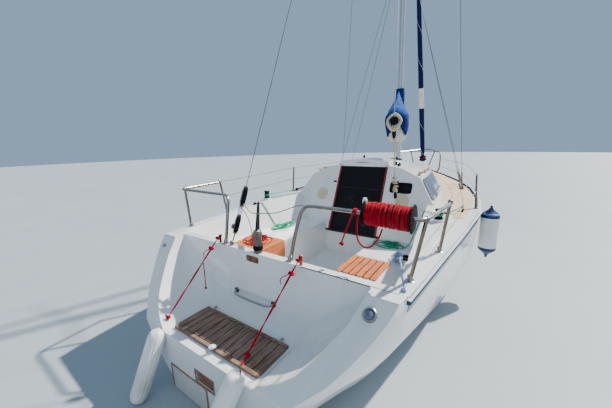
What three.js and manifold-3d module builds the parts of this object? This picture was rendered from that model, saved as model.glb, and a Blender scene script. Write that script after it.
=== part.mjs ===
// Sailing yacht of about 6.3 m with an open bathing scoop in her stern, as she lies afloat.
// Units are millimetres: +X forward, +Y to port, +Z up. The origin is on the centreline at the
// waterline, straight below the aft edge of the transom wall's top.
import * as THREE from 'three';
import { mergeVertices } from 'three/addons/utils/BufferGeometryUtils.js';
import Module from 'manifold-3d';

const wasm = await Module();
wasm.setup();

// Driving sizes
const GAP = 0.3;
const BEAM = 2650;
const BOW_X = 5700;
const TRANSOM_Z = 970;
const AFT_FACE_X = -530;
const PLATFORM_Z = 455;
const RIM_WIDTH = 60;
const SKIN_JOINT = 70;
const DECK_CAMBER = 60;
const SOLE_Z = 375;
const STARBOARD_SEAT_Z = 620;
const PORT_SEAT_Z = 760;
const WELL_STARBOARD_Y = -310;
const WELL_PORT_Y = 360;
const SILL_Z = 656;
const BULKHEAD_X = 1660;
const BULKHEAD_LEAN = 0.454;
const CABIN_SOLE_Z = 60;
const WALL = 30;
const KEEL_DEPTH = -1180;
const STOCK_X = 30;
const TILLER_ANGLE = 43;
const TILLER_LENGTH = 800;
const MAST_X = 3538;
const MAST_FOOT_Z = 1437;
const MAST_RAKE = 0.062;
const MAST_LENGTH = 6900;
const BOOM_ANGLE = 15.7;
const BOOM_Z = 2090;
const BOOM_LENGTH = 2200;
const FORESTAY_FOOT = [5500, 0, 1210];
const RAIL_RADIUS = 13;
const RAIL_Z = 1352;
const WIRE = 3;

// Shape helpers

function solid(geometry) {
  const bare = geometry.clone();
  bare.deleteAttribute('normal');
  bare.deleteAttribute('uv');
  const merged = mergeVertices(bare, 1e-3);
  const triangles = [];
  for (let i = 0; i < merged.index.count; i += 3) {
    const [a, b, c] = merged.index.array.slice(i, i + 3);
    if (a !== b && b !== c && c !== a) triangles.push(a, b, c);
  }
  return new wasm.Manifold(new wasm.Mesh({
    numProp: 3,
    vertProperties: new Float32Array(merged.attributes.position.array),
    triVerts: new Uint32Array(triangles),
  }));
}

function geometryOf(manifold) {
  const mesh = manifold.getMesh();
  const geometry = new THREE.BufferGeometry();
  geometry.setAttribute('position', new THREE.BufferAttribute(mesh.vertProperties, 3));
  geometry.setIndex(new THREE.BufferAttribute(mesh.triVerts, 1));
  geometry.computeVertexNormals();
  return geometry;
}

const vec = (p) => new THREE.Vector3(...p);
const union = (list) => list.reduce((all, one) => all.add(one));
const radians = (degrees) => degrees * Math.PI / 180;

// A block between two corners
function block(low, high) {
  const size = high.map((v, i) => v - low[i]);
  return solid(new THREE.BoxGeometry(...size).translate(...low.map((v, i) => v + size[i] / 2)));
}

// A round bar from a to b, its end radii given
function bar(a, b, radiusA, radiusB = radiusA, sides = 12) {
  const from = vec(a);
  const along = vec(b).sub(from);
  const geometry = new THREE.CylinderGeometry(radiusB, radiusA, along.length(), sides);
  geometry.translate(0, along.length() / 2, 0);
  geometry.applyQuaternion(new THREE.Quaternion().setFromUnitVectors(
    new THREE.Vector3(0, 1, 0), along.clone().normalize()));
  return solid(geometry.translate(...a));
}

// A round tube through points, with rounded corners
function tube(points, radius, steps = 24, sides = 10) {
  const ring = new THREE.Shape();
  ring.absarc(0, 0, radius, 0, 2 * Math.PI, false);
  const path = new THREE.CatmullRomCurve3(points.map(vec), false, 'centripetal');
  return solid(new THREE.ExtrudeGeometry(ring,
    { steps, curveSegments: sides / 2, bevelEnabled: false, extrudePath: path }));
}

// A turned shape about the Z axis through a centre: profile rows are radius, height, and run
// up the outside, or close on themselves
function turned(profile, centre, sides = 24) {
  const geometry = new THREE.LatheGeometry(profile.map(([r, z]) => new THREE.Vector2(r, z)), sides);
  return solid(geometry.rotateX(Math.PI / 2).translate(...centre));
}

// An outline in the X-Z plane, carried across from y = from to y = to
function sidePrism(outline, from, to) {
  const shape = new THREE.Shape(outline.map(([x, z]) => new THREE.Vector2(x, z)));
  const geometry = new THREE.ExtrudeGeometry(shape, { depth: to - from, bevelEnabled: false });
  return solid(geometry.rotateX(Math.PI / 2).translate(0, to, 0));
}

// Twice the area of a triangle in the Y-Z plane, positive where it runs anticlockwise
const turnOf = (a, b, c) => (b.x - a.x) * (c.y - a.y) - (b.y - a.y) * (c.x - a.x);

// A closed skin over rings of equal point count along X, capped at both ends
function loft(rings) {
  const count = rings[0].length;
  const index = [];
  for (let i = 0; i + 1 < rings.length; i += 1) {
    for (let j = 0; j < count; j += 1) {
      const a = i * count + j;
      const b = i * count + (j + 1) % count;
      index.push(a, b, a + count, b, b + count, a + count);
    }
  }
  for (const ring of [0, rings.length - 1]) {
    const flat = rings[ring].map(([, y, z]) => new THREE.Vector2(y, z));
    const runsBack = THREE.ShapeUtils.isClockWise(flat) !== (ring === 0);
    for (const [a, b, c] of THREE.ShapeUtils.triangulateShape(flat, [])) {
      const back = turnOf(flat[a], flat[b], flat[c]) < 0;
      const corner = back === runsBack ? [a, b, c] : [a, c, b];
      index.push(...corner.map((v) => v + ring * count));
    }
  }
  const geometry = new THREE.BufferGeometry();
  geometry.setAttribute('position', new THREE.Float32BufferAttribute(rings.flat(2), 3));
  geometry.setIndex(signedVolume(rings.flat(), index) < 0 ? index.reverse() : index);
  return solid(geometry);
}

// Six times the volume inside a list of triangles
function signedVolume(points, index) {
  let total = 0;
  for (let i = 0; i < index.length; i += 3) {
    const [a, b, c] = [0, 1, 2].map((k) => vec(points[index[i + k]]));
    total += a.dot(b.cross(c));
  }
  return total;
}

// Loft rings are laid along X, so an upright loft has its height first and the axes then turn
// in a cycle
const upright = (body) => body.transform([0, 0, 1, 0, 1, 0, 0, 0, 0, 1, 0, 0, 0, 0, 0, 1]);

const mirrored = (points) => points.map(([x, y, z]) => [x, -y, z]);

function between(rows, x) {
  const next = Math.max(1, rows.findIndex((row) => row[0] >= x));
  const [a, b] = next > 0 && rows[next] ? [rows[next - 1], rows[next]] : rows.slice(-2);
  const t = (x - a[0]) / (b[0] - a[0]);
  return a.map((v, i) => v + (b[i] - v) * t);
}

// Materials
const paint = (color, roughness = 0.35, metalness = 0) =>
  new THREE.MeshStandardMaterial({ color, roughness, metalness });
const WHITE = paint(0xf1f2f0);
const STEEL = paint(0xb9bcc0, 0.25, 1);
const ALLOY = paint(0x9ea3a8, 0.4, 1);
const BLACK = paint(0x17181b, 0.45);
const TEAK = paint(0xc8824c, 0.7);
const OLD_TEAK = paint(0x6a4a35, 0.8);
const VARNISH = paint(0x7a1e14, 0.3);
const NAVY = paint(0x16233f, 0.9);
const GLASS = paint(0x7f93a3, 0.1);
const IRON = paint(0x2d3a52, 0.6);
const ROPE_RED = paint(0xc3202d, 0.85);
const ROPE_GREEN = paint(0x1f9a6c, 0.85);
const ROPE_BLUE = paint(0x8fa7cf, 0.85);
const ROPE_GREY = paint(0x8e8a80, 0.85);
const FENDER = paint(0xe4e4e0, 0.5);

const group = new THREE.Group();

function add(name, manifold, material, parent = group) {
  const mesh = new THREE.Mesh(geometryOf(manifold), material);
  mesh.name = name;
  parent.add(mesh);
}

// Hull: columns are x, half-beam at the sheer, sheer height, height of the keel line,
// and the two powers of the section's curve
const STATIONS = [
  [-560, 800, 955, -50, 1.4, 2.4],
  [-490, 880, 956, -58, 1.4, 2.4],
  [-420, 945, 958, -64, 1.5, 2.3],
  [-330, 1002, 960, -72, 1.5, 2.2],
  [-200, 1058, 964, -84, 1.6, 2.1],
  [-100, 1096, 967, -94, 1.7, 2.1],
  [60, 1124, 970, -110, 1.9, 2.1],
  [500, 1168, 980, -170, 2.3, 2.1],
  [1200, 1243, 990, -260, 2.8, 2.1],
  [2100, BEAM / 2, 1000, -330, 3.0, 2.1],
  [2700, 1288, 1025, -335, 2.9, 2.1],
  [3300, 1164, 1045, -310, 2.6, 2.0],
  [3900, 953, 1063, -250, 2.3, 1.8],
  [4500, 655, 1080, -150, 2.0, 1.6],
  [5000, 352, 1095, -20, 1.7, 1.4],
  [5300, 185, 1105, 230, 1.5, 1.3],
  [5550, 65, 1113, 680, 1.3, 1.2],
  [BOW_X, 12, 1118, 1010, 1.2, 1.2],
];
const SECTION_STEPS = 10;

// Half-beam of the hull at a place along the boat and a height
function halfBeam(x, z) {
  const [, beam, sheer, keel, low, high] = between(STATIONS, x);
  const drop = Math.min(1, Math.max(0, (sheer - z) / (sheer - keel)));
  return beam * (1 - drop ** low) ** (1 / high);
}

const sheerAt = (x) => between(STATIONS, x)[2];
const beamAt = (x) => between(STATIONS, x)[1];

// Height of the cambered deck, before the cockpit and cabin are cut in
function deckAt(x, y) {
  const across = Math.min(1, Math.abs(y) / beamAt(x));
  const camber = DECK_CAMBER * Math.min(1, beamAt(x) / 600) * Math.min(1, Math.max(0, x / 1800));
  return sheerAt(x) + camber * (1 - across ** 2);
}

// One section: keel to sheer on the starboard side, across, and down to the keel on the port side
function hullRing(row) {
  const [x, , sheer, keel] = row;
  const top = sheer - SKIN_JOINT;
  const side = [];
  for (let i = 1; i <= SECTION_STEPS; i += 1) {
    const z = top - (top - keel) * Math.cos(i / SECTION_STEPS * Math.PI / 2) ** 1.15;
    side.push([x, -halfBeam(x, z), z]);
  }
  return [[x, 0, keel], ...side, ...mirrored(side).reverse()];
}

const hullBody = loft(STATIONS.map(hullRing));

function deckRing(row) {
  const [x, , sheer] = row;
  const low = sheer - SKIN_JOINT + GAP;
  const starboard = [[x, -halfBeam(x, low), low], [x, -halfBeam(x, sheer), sheer]];
  for (const share of [0.8, 0.55, 0.28]) {
    const y = -beamAt(x) * share;
    starboard.push([x, y, deckAt(x, y)]);
  }
  return [...starboard, [x, 0, deckAt(x, 0)], ...mirrored(starboard).reverse()];
}

const deckBody = loft(STATIONS.map(deckRing));

// Stern: everything abaft the sloping lip and the upright aft face goes
const LIP_X = -85;
const LIP_SLOPE = 0.9;
const lipX = (z) => LIP_X - LIP_SLOPE * (TRANSOM_Z - z);
const sternCut = sidePrism([
  [lipX(1200), 1200], [-1200, 1200], [-1200, -300], [AFT_FACE_X, -300],
  [AFT_FACE_X, PLATFORM_Z + 20], [lipX(PLATFORM_Z + 35), PLATFORM_Z + 35],
], -1500, 1500);

// Scoop: a bowl that widens upwards from the platform. Columns are height, half-width,
// radius of the corners in plan, and place of the transom wall
const SCOOP = [
  [PLATFORM_Z, 440, 15, -130],
  [478, 470, 50, -95],
  [500, 527, 130, -66],
  [530, 594, 210, -42],
  [573, 666, 260, -18],
  [645, 737, 250, 0],
  [730, 800, 188, 0],
  [834, 868, 95, 0],
  [890, 892, 60, 0],
  [960, 918, 30, 0],
  [1060, 945, 30, 0],
];
const CORNER_STEPS = 5;

// One level of the scoop in plan: rows of height, x and y, as an upright loft takes them
function scoopRing([z, half, radius, wall]) {
  const corner = [];
  for (let i = 0; i <= CORNER_STEPS; i += 1) {
    const turn = i / CORNER_STEPS * Math.PI / 2;
    corner.push([z, wall - radius + radius * Math.sin(turn), half - radius + radius * Math.cos(turn)]);
  }
  const side = [[z, -900, half], ...corner];
  return [...side, ...side.map(([level, x, y]) => [level, x, -y]).reverse()];
}

// Cockpit: half-widths at the seats and at the coaming's top, by place along the boat
const COAMING = [[RIM_WIDTH, 935, 1035], [600, 880, 985], [1200, 775, 900], [BULKHEAD_X + 500, 650, 780]];
const COCKPIT_TOP = 1250;
const leanX = (z) => BULKHEAD_X + BULKHEAD_LEAN * Math.max(0, z - SILL_Z);

function cockpitRing(x, seat, side) {
  const [, low, high] = between(COAMING, x);
  const rise = (high - low) / (1000 - seat);
  return [[x, 0, seat], [x, side * low, seat], [x, side * (low + rise * (COCKPIT_TOP - seat)), COCKPIT_TOP],
    [x, 0, COCKPIT_TOP]];
}

const COCKPIT_X = [RIM_WIDTH, 600, 1200, BULKHEAD_X + 500];
const seatCut = (seat, side) => loft(COCKPIT_X.map((x) => {
  const ring = cockpitRing(x, seat, side);
  return side < 0 ? ring : ring.reverse();
}));
const wellCut = block([190, WELL_STARBOARD_Y, SOLE_Z], [BULKHEAD_X, WELL_PORT_Y, COCKPIT_TOP]);
const aftOfBulkhead = sidePrism([
  [-50, 300], [BULKHEAD_X, 300], [BULKHEAD_X, SILL_Z], [leanX(1300), 1300], [-50, 1300],
], -1300, 1300);
const cockpitCut = union([
  seatCut(STARBOARD_SEAT_Z, -1), seatCut(PORT_SEAT_Z, 1), wellCut,
]).intersect(aftOfBulkhead);

// Cabin: the space under the coachroof, and the companionway into it
const CABIN = [[1790, 590], [2400, 640], [3200, 560], [3900, 360]];
const cabinCut = loft(CABIN.map(([x, half]) => {
  const lean = x === CABIN[0][0] ? BULKHEAD_LEAN : 0;
  const foot = [[x, -half * 0.75, CABIN_SOLE_Z], [x, -half, 400], [x + lean * 500, -half, 1150]];
  return [...foot, ...mirrored(foot).reverse()];
}));
const WAY_HALF_LOW = 326;
const WAY_TOP_Z = 1455;
const wayCut = sidePrism([
  [BULKHEAD_X - 60, SILL_Z], [BULKHEAD_X + 260, SILL_Z], [leanX(WAY_TOP_Z) + 260, WAY_TOP_Z],
  [leanX(WAY_TOP_Z) - 60, WAY_TOP_Z],
], -WAY_HALF_LOW, WAY_HALF_LOW);

// Rudder stock's bore, straight down through the transom wall
const STOCK_RADIUS = 15;
const stockBore = bar([STOCK_X, 0, -400], [STOCK_X, 0, 1300], STOCK_RADIUS + 1.5);

const LOCKER = { x: AFT_FACE_X, y: [0, 400], z: [5, 200], depth: 45 };
const lockerCut = block([LOCKER.x - 100, LOCKER.y[0], LOCKER.z[0]],
  [LOCKER.x + LOCKER.depth, LOCKER.y[1], LOCKER.z[1]]);

// Slatted hole above the locker
const VENT = { y: [-90, 100], z: [215, 310], depth: 30 };
const ventCut = block([AFT_FACE_X - 100, VENT.y[0], VENT.z[0]],
  [AFT_FACE_X + VENT.depth, VENT.y[1], VENT.z[1]]);

const scoopCut = upright(loft(SCOOP.map(scoopRing)));
const hullCuts = union([sternCut, scoopCut, cockpitCut, cabinCut, wayCut, stockBore, lockerCut,
  ventCut]);
add('hull', hullBody.subtract(hullCuts), WHITE);

const FOREHATCH = { x: [4250, 4700], half: 225, height: 35 };
const hatchWell = block([FOREHATCH.x[0] + 40, -FOREHATCH.half + 40, 1080],
  [FOREHATCH.x[1] - 40, FOREHATCH.half - 40, 1300]);

// Coachroof: columns are x at the deck, lean of the section, half-width at the deck,
// shoulder half-width and height, roof half-width and height, crown height
const COACHROOF = [
  [1828, BULKHEAD_LEAN, 905, 720, 1345, 500, 1442, 1508],
  [2300, 0.2, 880, 712, 1348, 495, 1438, 1500],
  [2900, 0, 815, 655, 1340, 450, 1418, 1470],
  [3600, -0.25, 660, 520, 1312, 350, 1375, 1425],
  [4000, -0.7, 520, 400, 1255, 270, 1300, 1340],
  [4190, -1.2, 440, 350, 1155, 240, 1170, 1185],
];
const ROOF_FOOT_Z = 1020;

function coachroofRing(row, inset) {
  const [x, lean, foot, shoulder, shoulderZ, roof, roofZ, crown] = row;
  const at = (y, z) => [x + lean * (z - 1050), y, z];
  const side = [
    at(-foot + inset, ROOF_FOOT_Z), at(-foot + inset, 1060), at(-shoulder + inset, shoulderZ - inset * 0.6),
    at(-roof + inset * 0.6, roofZ - inset), at(-roof * 0.5, (roofZ + crown * 2) / 3 - inset),
  ];
  return [...side, at(0, crown - inset), ...mirrored(side).reverse()];
}

const roofOuter = loft(COACHROOF.map((row) => coachroofRing(row, 0)));
const inner = COACHROOF.slice(0, 5).map((row) => [...row]);
inner[0][0] += WALL + 10;
inner[4][0] -= WALL;
const roofInner = loft(inner.map((row) => coachroofRing(row, WALL)))
  .add(block([2050, -300, 950], [3700, 300, 1150]));

// Side windows, each a four-sided hole in the cabin side: corners are x and height
const WINDOW = [[1930, 1114], [2000, 1300], [2960, 1294], [3080, 1152], [2980, 1108]];
const windowHole = (side) => sidePrism(WINDOW, side < 0 ? -1000 : 500, side < 0 ? -500 : 1000);

const HATCH = { x: [2015, 2560], half: 330 };
// Place on the roof, beside its shoulder, that the handrails follow
const SHOULDER_LINE = COACHROOF.map(([x, lean, , out, outZ, roof, roofZ]) =>
  [x + lean * (outZ - 1050), out + (roof - out) * 0.14, outZ + (roofZ - outZ) * 0.14]);
const besideShoulder = (x) => between(SHOULDER_LINE, x).slice(1);
const hatchway = block([1900, -300, 1380], [2520, 300, 1600]);

const coachroofShell = roofOuter.subtract(roofInner)
  .subtract(deckBody.translate([0, 0, GAP]))
  .subtract(wayCut)
  .subtract(windowHole(1))
  .subtract(windowHole(-1));
add('coachroof', coachroofShell.subtract(hatchway), WHITE);

// Deck moulding with its coaming, its winch pads and the cut-outs for cockpit and cabin
const deckCuts = union([sternCut, scoopCut, cockpitCut, wayCut, stockBore, hatchWell, cabinCut]);

// Raised coamings beside the cockpit: columns are x, inner and outer y, and rise over the deck
const COAMING_TOP = [[260, 800, 1085, 0.5], [700, 800, 1110, 36], [1290, 800, 1125, 45],
  [1790, 800, 1130, 45], [1792, 925, 1130, 45], [2300, 915, 1080, 0.5]];
const COAMING_BEVEL = 26;
const coaming = (side) => loft(COAMING_TOP.map(([x, inside, outside, rise]) => {
  const top = (y) => deckAt(x, y) + rise;
  return [[x, side * inside, deckAt(x, inside) - 40], [x, side * inside, top(inside)],
    [x, side * (outside - COAMING_BEVEL), top(outside - COAMING_BEVEL)],
    [x, side * outside, deckAt(x, outside) - 40]];
}));

const WINCH = { x: 1290, y: 1045, radius: 38, height: 92 };
const winchZ = deckAt(WINCH.x, WINCH.y) + 45;
const winchPads = [1, -1].map((side) => bar([WINCH.x, side * WINCH.y, winchZ - 20],
  [WINCH.x, side * WINCH.y, winchZ + 22], WINCH.radius + 12, WINCH.radius + 8, 20));
const winchPins = [1, -1].map((side) => bar([WINCH.x, side * WINCH.y, winchZ + 10],
  [WINCH.x, side * WINCH.y, winchZ + 22 + WINCH.height - 12], 9));
// Pins on the transom wall's rim, which the lashings are tied to
const RIM_PIN = { x: 22, y: [427, -406], z: [955, 1038], radius: 9 };
const rimPins = RIM_PIN.y.map((y) => bar([RIM_PIN.x, y, RIM_PIN.z[0]], [RIM_PIN.x, y, RIM_PIN.z[1]],
  RIM_PIN.radius));
const deckShell = union([deckBody, coaming(1), coaming(-1)]).subtract(deckCuts);
add('deck', union([deckShell, ...winchPads, ...winchPins, ...rimPins]), WHITE);

// Winch drums turn on their pins
for (const [name, side] of [['winch_port', 1], ['winch_starboard', -1]]) {
  const low = winchZ + 23;
  const drum = turned([[10, 0], [WINCH.radius, 0], [WINCH.radius, 10], [WINCH.radius - 10, 24],
    [WINCH.radius - 10, 62], [WINCH.radius, 78], [WINCH.radius, WINCH.height - 6],
    [WINCH.radius - 8, WINCH.height], [0, WINCH.height], [0, WINCH.height - 10], [10, WINCH.height - 10],
    [10, 0]],
    [WINCH.x, side * WINCH.y, low]);
  add(name, drum, BLACK);
}

// Rub rail round the gunwale, carried on the skin joint
const RUB_POINTS = [0, 500, 1200, 2100, 2700, 3300, 3900, 4500, 5000, 5300, 5550];
function rubSide(side) {
  const sections = RUB_POINTS.map((x) => {
    const z = sheerAt(x) - SKIN_JOINT / 2;
    const y = side * (halfBeam(x, z - 12) - 6);
    const out = side * (halfBeam(x, z - 12) + 22);
    const ring = [[x, y, z - 16], [x, out, z - 11], [x, out, z + 11], [x, y, z + 16]];
    return side < 0 ? ring : ring.reverse();
  });
  return loft(sections);
}
function rubRail(side) {
  const clear = [0, side * GAP, 0];
  return rubSide(side).subtract(hullBody.translate(clear)).subtract(deckBody.translate(clear));
}
add('rub_rail_port', rubRail(1), BLACK);
add('rub_rail_starboard', rubRail(-1), BLACK);

// Sliding hatch on the roof, with a lip that closes the gap above the washboards
const HATCH_TRAVEL_GAP = 6;
const hatchTop = (x, y) => 1516 - 66 * (Math.abs(y) / 500) ** 1.6 - (x - HATCH.x[0]) * 0.03;
const hatchRing = ([x, rise]) => {
  const across = [-1, -0.6, 0, 0.6, 1].map((share) => share * HATCH.half);
  const top = across.map((y) => [x, y, hatchTop(x, y) + rise]);
  const low = across.map((y) => [x, y, hatchTop(x, y) - 60]);
  return [...top, ...low.reverse()];
};
const roofBehind = union([roofOuter.translate([0, 0, GAP]), roofOuter.translate([-40, 0, GAP + 2])]);
const hatchBody = loft([[HATCH.x[0], 40], [HATCH.x[0] + 250, 38], [HATCH.x[1], 30]].map(hatchRing));
const hatchSkirts = union([1, -1].map((side) => block(
  [HATCH.x[0], Math.min(side * 312, side * HATCH.half), 1380],
  [HATCH.x[1], Math.max(side * 312, side * HATCH.half), 1700])));
const hatchLip = block([HATCH.x[0], -292, 1453], [HATCH.x[0] + 28, 292, 1500]);
const hatchPlate = hatchBody.subtract(roofOuter.translate([0, 0, HATCH_TRAVEL_GAP]))
  .subtract(roofBehind)
  .subtract(block([HATCH.x[0] + 28, -292, 1300], [HATCH.x[1] - 28, 292, 1490]));
const hatchRunners = hatchBody.intersect(hatchSkirts);
add('sliding_hatch', union([hatchPlate, hatchRunners.subtract(roofBehind), hatchLip]), WHITE);

// Forehatch, hinged at its forward edge
const forehatchBody = block([FOREHATCH.x[0], -FOREHATCH.half, 1075],
  [FOREHATCH.x[1], FOREHATCH.half, deckAt(4470, 0) + FOREHATCH.height]);
add('forehatch', forehatchBody.subtract(deckBody.translate([0, 0, GAP])), WHITE);

// Companionway: frames, threshold and the two washboards that close it
const frameOf = (side) => sidePrism([
  [BULKHEAD_X - 14, SILL_Z + GAP], [BULKHEAD_X + 45, SILL_Z + GAP], [leanX(1448) + 45, 1448],
  [leanX(1448) - 14, 1448],
], ...(side > 0 ? [304, WAY_HALF_LOW - GAP] : [GAP - WAY_HALF_LOW, -304]));
const threshold = block([BULKHEAD_X - 30, GAP - 304, SILL_Z + GAP],
  [BULKHEAD_X + 50, 304 - GAP, SILL_Z + 12]);
add('way_frame_port', frameOf(1), VARNISH);
add('way_frame_starboard', frameOf(-1), VARNISH);
add('threshold', threshold, STEEL);
const board = (low, high) => sidePrism([
  [leanX(low) + 4, low], [leanX(low) + 26, low], [leanX(high) + 26, high], [leanX(high) + 4, high],
], GAP - 304, 304 - GAP);
const BOARD_JOINT_Z = 1068;
add('washboard_lower', board(SILL_Z + 12 + GAP, BOARD_JOINT_Z), BLACK);
add('washboard_upper', board(BOARD_JOINT_Z + GAP, 1446), BLACK);

// Cabin side windows, let into their holes
const paneShape = (() => {
  const centre = [0, 1].map((k) => WINDOW.reduce((sum, p) => sum + p[k], 0) / WINDOW.length);
  return WINDOW.map((p) => p.map((v, k) => centre[k] + (v - centre[k]) * 0.998));
})();
const skinBand = loft(COACHROOF.map((row) => coachroofRing(row, 8)))
  .subtract(loft(COACHROOF.map((row) => coachroofRing(row, 18))));
for (const [name, side] of [['window_port', 1], ['window_starboard', -1]]) {
  add(name, sidePrism(paneShape, side < 0 ? -1000 : 500, side < 0 ? -500 : 1000).intersect(skinBand), GLASS);
}

// Foils: keel and rudder are lofted upwards from rows of height, leading edge, chord, thickness
const FOIL = [[0, 0], [0.04, 0.3], [0.15, 0.46], [0.35, 0.5], [0.65, 0.32], [1, 0.04]];
function foilRing([z, lead, chord, thick]) {
  const side = FOIL.map(([along, half]) => [z, lead - along * chord, half * thick]);
  return [...side, ...side.slice(1).reverse().map(([a, b, c]) => [a, b, -c])];
}
const foil = (rows) => upright(loft(rows.map(foilRing)));

const bulb = turned([[0, -520], [40, -500], [78, -380], [90, -200], [84, 60], [55, 330], [0, 560]],
  [0, 0, 0], 16).rotate([0, -90, 0]).translate([2080, 0, KEEL_DEPTH + 90]);
const fin = foil([[KEEL_DEPTH + 80, 2330, 560, 70], [-600, 2420, 720, 90], [-200, 2600, 980, 120]]);
add('keel', union([fin.subtract(hullBody.translate([0, 0, -GAP])), bulb]), IRON);

// Steering: the rudder turns in the wall, its head turned to port with the tiller
const steering = new THREE.Group();
steering.position.set(STOCK_X, 0, 0);
steering.rotation.z = radians(TILLER_ANGLE);
group.add(steering);
const HEAD_Z = TRANSOM_Z + 130;
const blade = foil([[-830, 50, 250, 34], [-500, 75, 320, 40], [-168, 85, 350, 44]]);
const stock = bar([0, 0, -700], [0, 0, HEAD_Z - 42], STOCK_RADIUS, STOCK_RADIUS, 16);
const collar = bar([0, 0, TRANSOM_Z + 6], [0, 0, TRANSOM_Z + 24], 34, 34, 20)
  .add(bar([0, 0, HEAD_Z - 70], [0, 0, HEAD_Z - 48], 36, 36, 20));
const cheeks = block([-32, -30, HEAD_Z - 50], [62, -18, HEAD_Z + 30])
  .add(block([-32, 18, HEAD_Z - 50], [62, 30, HEAD_Z + 30]))
  .add(block([-32, -30, HEAD_Z - 50], [62, 30, HEAD_Z - 38]))
  .add(block([-32, -30, HEAD_Z - 50], [-9, 30, HEAD_Z + 30]))
  .add(turned([[0, 0], [20, 6], [22, 24], [12, 36], [0, 38]], [-20, 0, HEAD_Z + 24], 14));
const TILLER_PIN = [30, 0, HEAD_Z + 2];
const tillerPin = bar([TILLER_PIN[0], -29, TILLER_PIN[2]], [TILLER_PIN[0], 29, TILLER_PIN[2]], 6);
add('rudder', union([blade, stock, collar, cheeks, tillerPin]), ALLOY, steering);
const tillerRise = 85;
const tillerArm = bar([76, 0, HEAD_Z + 8], [TILLER_LENGTH, 0, HEAD_Z + tillerRise], 19, 13, 12)
  .add(bar([0, 0, HEAD_Z + 2], [100, 0, HEAD_Z + 11], 12, 12, 12));
add('tiller', tillerArm.subtract(bar([TILLER_PIN[0], -40, TILLER_PIN[2]],
  [TILLER_PIN[0], 40, TILLER_PIN[2]], 6.5)), BLACK, steering);

// Platform grate: boards across its ends and slats fore and aft between them
const GRATE = { x: [-464, -164], half: 424, top: 476, slats: 13, slot: 7, end: 24 };
const slatPitch = 2 * GRATE.half / GRATE.slats;
const slots = Array.from({ length: GRATE.slats - 1 }, (_, i) => {
  const y = -GRATE.half + (i + 1) * slatPitch;
  return block([GRATE.x[0] + GRATE.end, y - GRATE.slot / 2, 0],
    [GRATE.x[1] - GRATE.end, y + GRATE.slot / 2, 900]);
});
add('platform_grate', block([GRATE.x[0], -GRATE.half, PLATFORM_Z + GAP],
  [GRATE.x[1], GRATE.half, GRATE.top]).subtract(union(slots)), OLD_TEAK);

// Ladder locker's lid in the aft face, rusted in its frame
add('locker_lid', block([LOCKER.x - 2, LOCKER.y[0] + 1, LOCKER.z[0] + 1],
  [LOCKER.x + LOCKER.depth - GAP, LOCKER.y[1] - 1, LOCKER.z[1] - 1]), WHITE);

// Grab handle low on the transom wall
const HANDLE = { y: [-165, 230], z: 607, out: 62 };
const wallFoot = -GAP;
const handleBar = tube([[wallFoot - 8, HANDLE.y[0], HANDLE.z], [-HANDLE.out + 12, HANDLE.y[0] + 14, HANDLE.z],
  [-HANDLE.out, HANDLE.y[0] + 50, HANDLE.z], [-HANDLE.out, HANDLE.y[1] - 50, HANDLE.z],
  [-HANDLE.out + 12, HANDLE.y[1] - 14, HANDLE.z], [wallFoot - 8, HANDLE.y[1], HANDLE.z]], 9, 26, 8);
const handleFeet = HANDLE.y.map((y) => bar([-16, y, HANDLE.z], [8, y, HANDLE.z], 24, 24, 16));
const wallAhead = deckBody.add(hullBody).subtract(scoopCut).translate([-GAP, 0, 0]);
add('grab_handle', union([handleBar, ...handleFeet]).subtract(wallAhead), STEEL);

// Stern rails: a bent rail on three legs on each quarter
const footZ = (x, y) => deckAt(x, y) + GAP;
function railFoot(x, y, radius = 24) {
  return bar([x, y, footZ(x, y) - 12], [x, y, footZ(x, y) + 7], radius, radius - 2, 16);
}
function rail(side, foot) {
  const y = (v) => side * v;
  const path = [[34, y(foot), 965], [88, y(foot + 20), 1180], [128, y(foot + 40), 1310],
    [150, y(foot + 70), RAIL_Z - 4], [158, y(foot + 128), RAIL_Z], [158, y(760), RAIL_Z],
    [158, y(1060), RAIL_Z], [158, y(1100), RAIL_Z],
    [168, y(1130), RAIL_Z], [200, y(1150), RAIL_Z], [330, y(1166), RAIL_Z], [680, y(1200), RAIL_Z]];
  const corner = bar([178, y(1080), 965], [196, y(1146), RAIL_Z], RAIL_RADIUS - 1);
  const forward = bar([706, y(1150), 965], [672, y(1199), RAIL_Z + 12], RAIL_RADIUS - 1);
  const feet = [railFoot(34, y(foot)), railFoot(178, y(1080)), railFoot(706, y(1150))];
  return union([tube(path, RAIL_RADIUS, 44, 8), corner, forward, ...feet]);
}
const deckTop = deckBody.translate([0, 0, GAP]);
add('pushpit_port', rail(1, 375).subtract(deckTop), STEEL);
add('pushpit_starboard', rail(-1, 302).subtract(deckTop), STEEL);

// Bow rail: a loop round the stem on two legs a side
const PULPIT_Z = 1500;
const pulpitSide = [[4830, 455, 1150], [4900, 452, 1340], [4960, 440, 1455], [5040, 415, PULPIT_Z],
  [5300, 300, PULPIT_Z + 15], [5560, 175, PULPIT_Z + 30], [5715, 90, PULPIT_Z + 38],
  [5750, 0, PULPIT_Z + 40]];
const pulpitPath = [...pulpitSide, ...mirrored(pulpitSide.slice(0, -1)).reverse()];
const pulpitLegs = [1, -1].flatMap((side) => [
  bar([5300, side * 128, 1090], [5390, side * 258, PULPIT_Z + 18], RAIL_RADIUS - 1),
  railFoot(4830, side * 400), railFoot(5300, side * 132),
  bar([4830, side * 400, 1080], [4836, side * 455, 1190], RAIL_RADIUS),
]);
add('pulpit', union([tube(pulpitPath, RAIL_RADIUS, 46, 8), ...pulpitLegs]).subtract(deckTop), STEEL);

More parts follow.
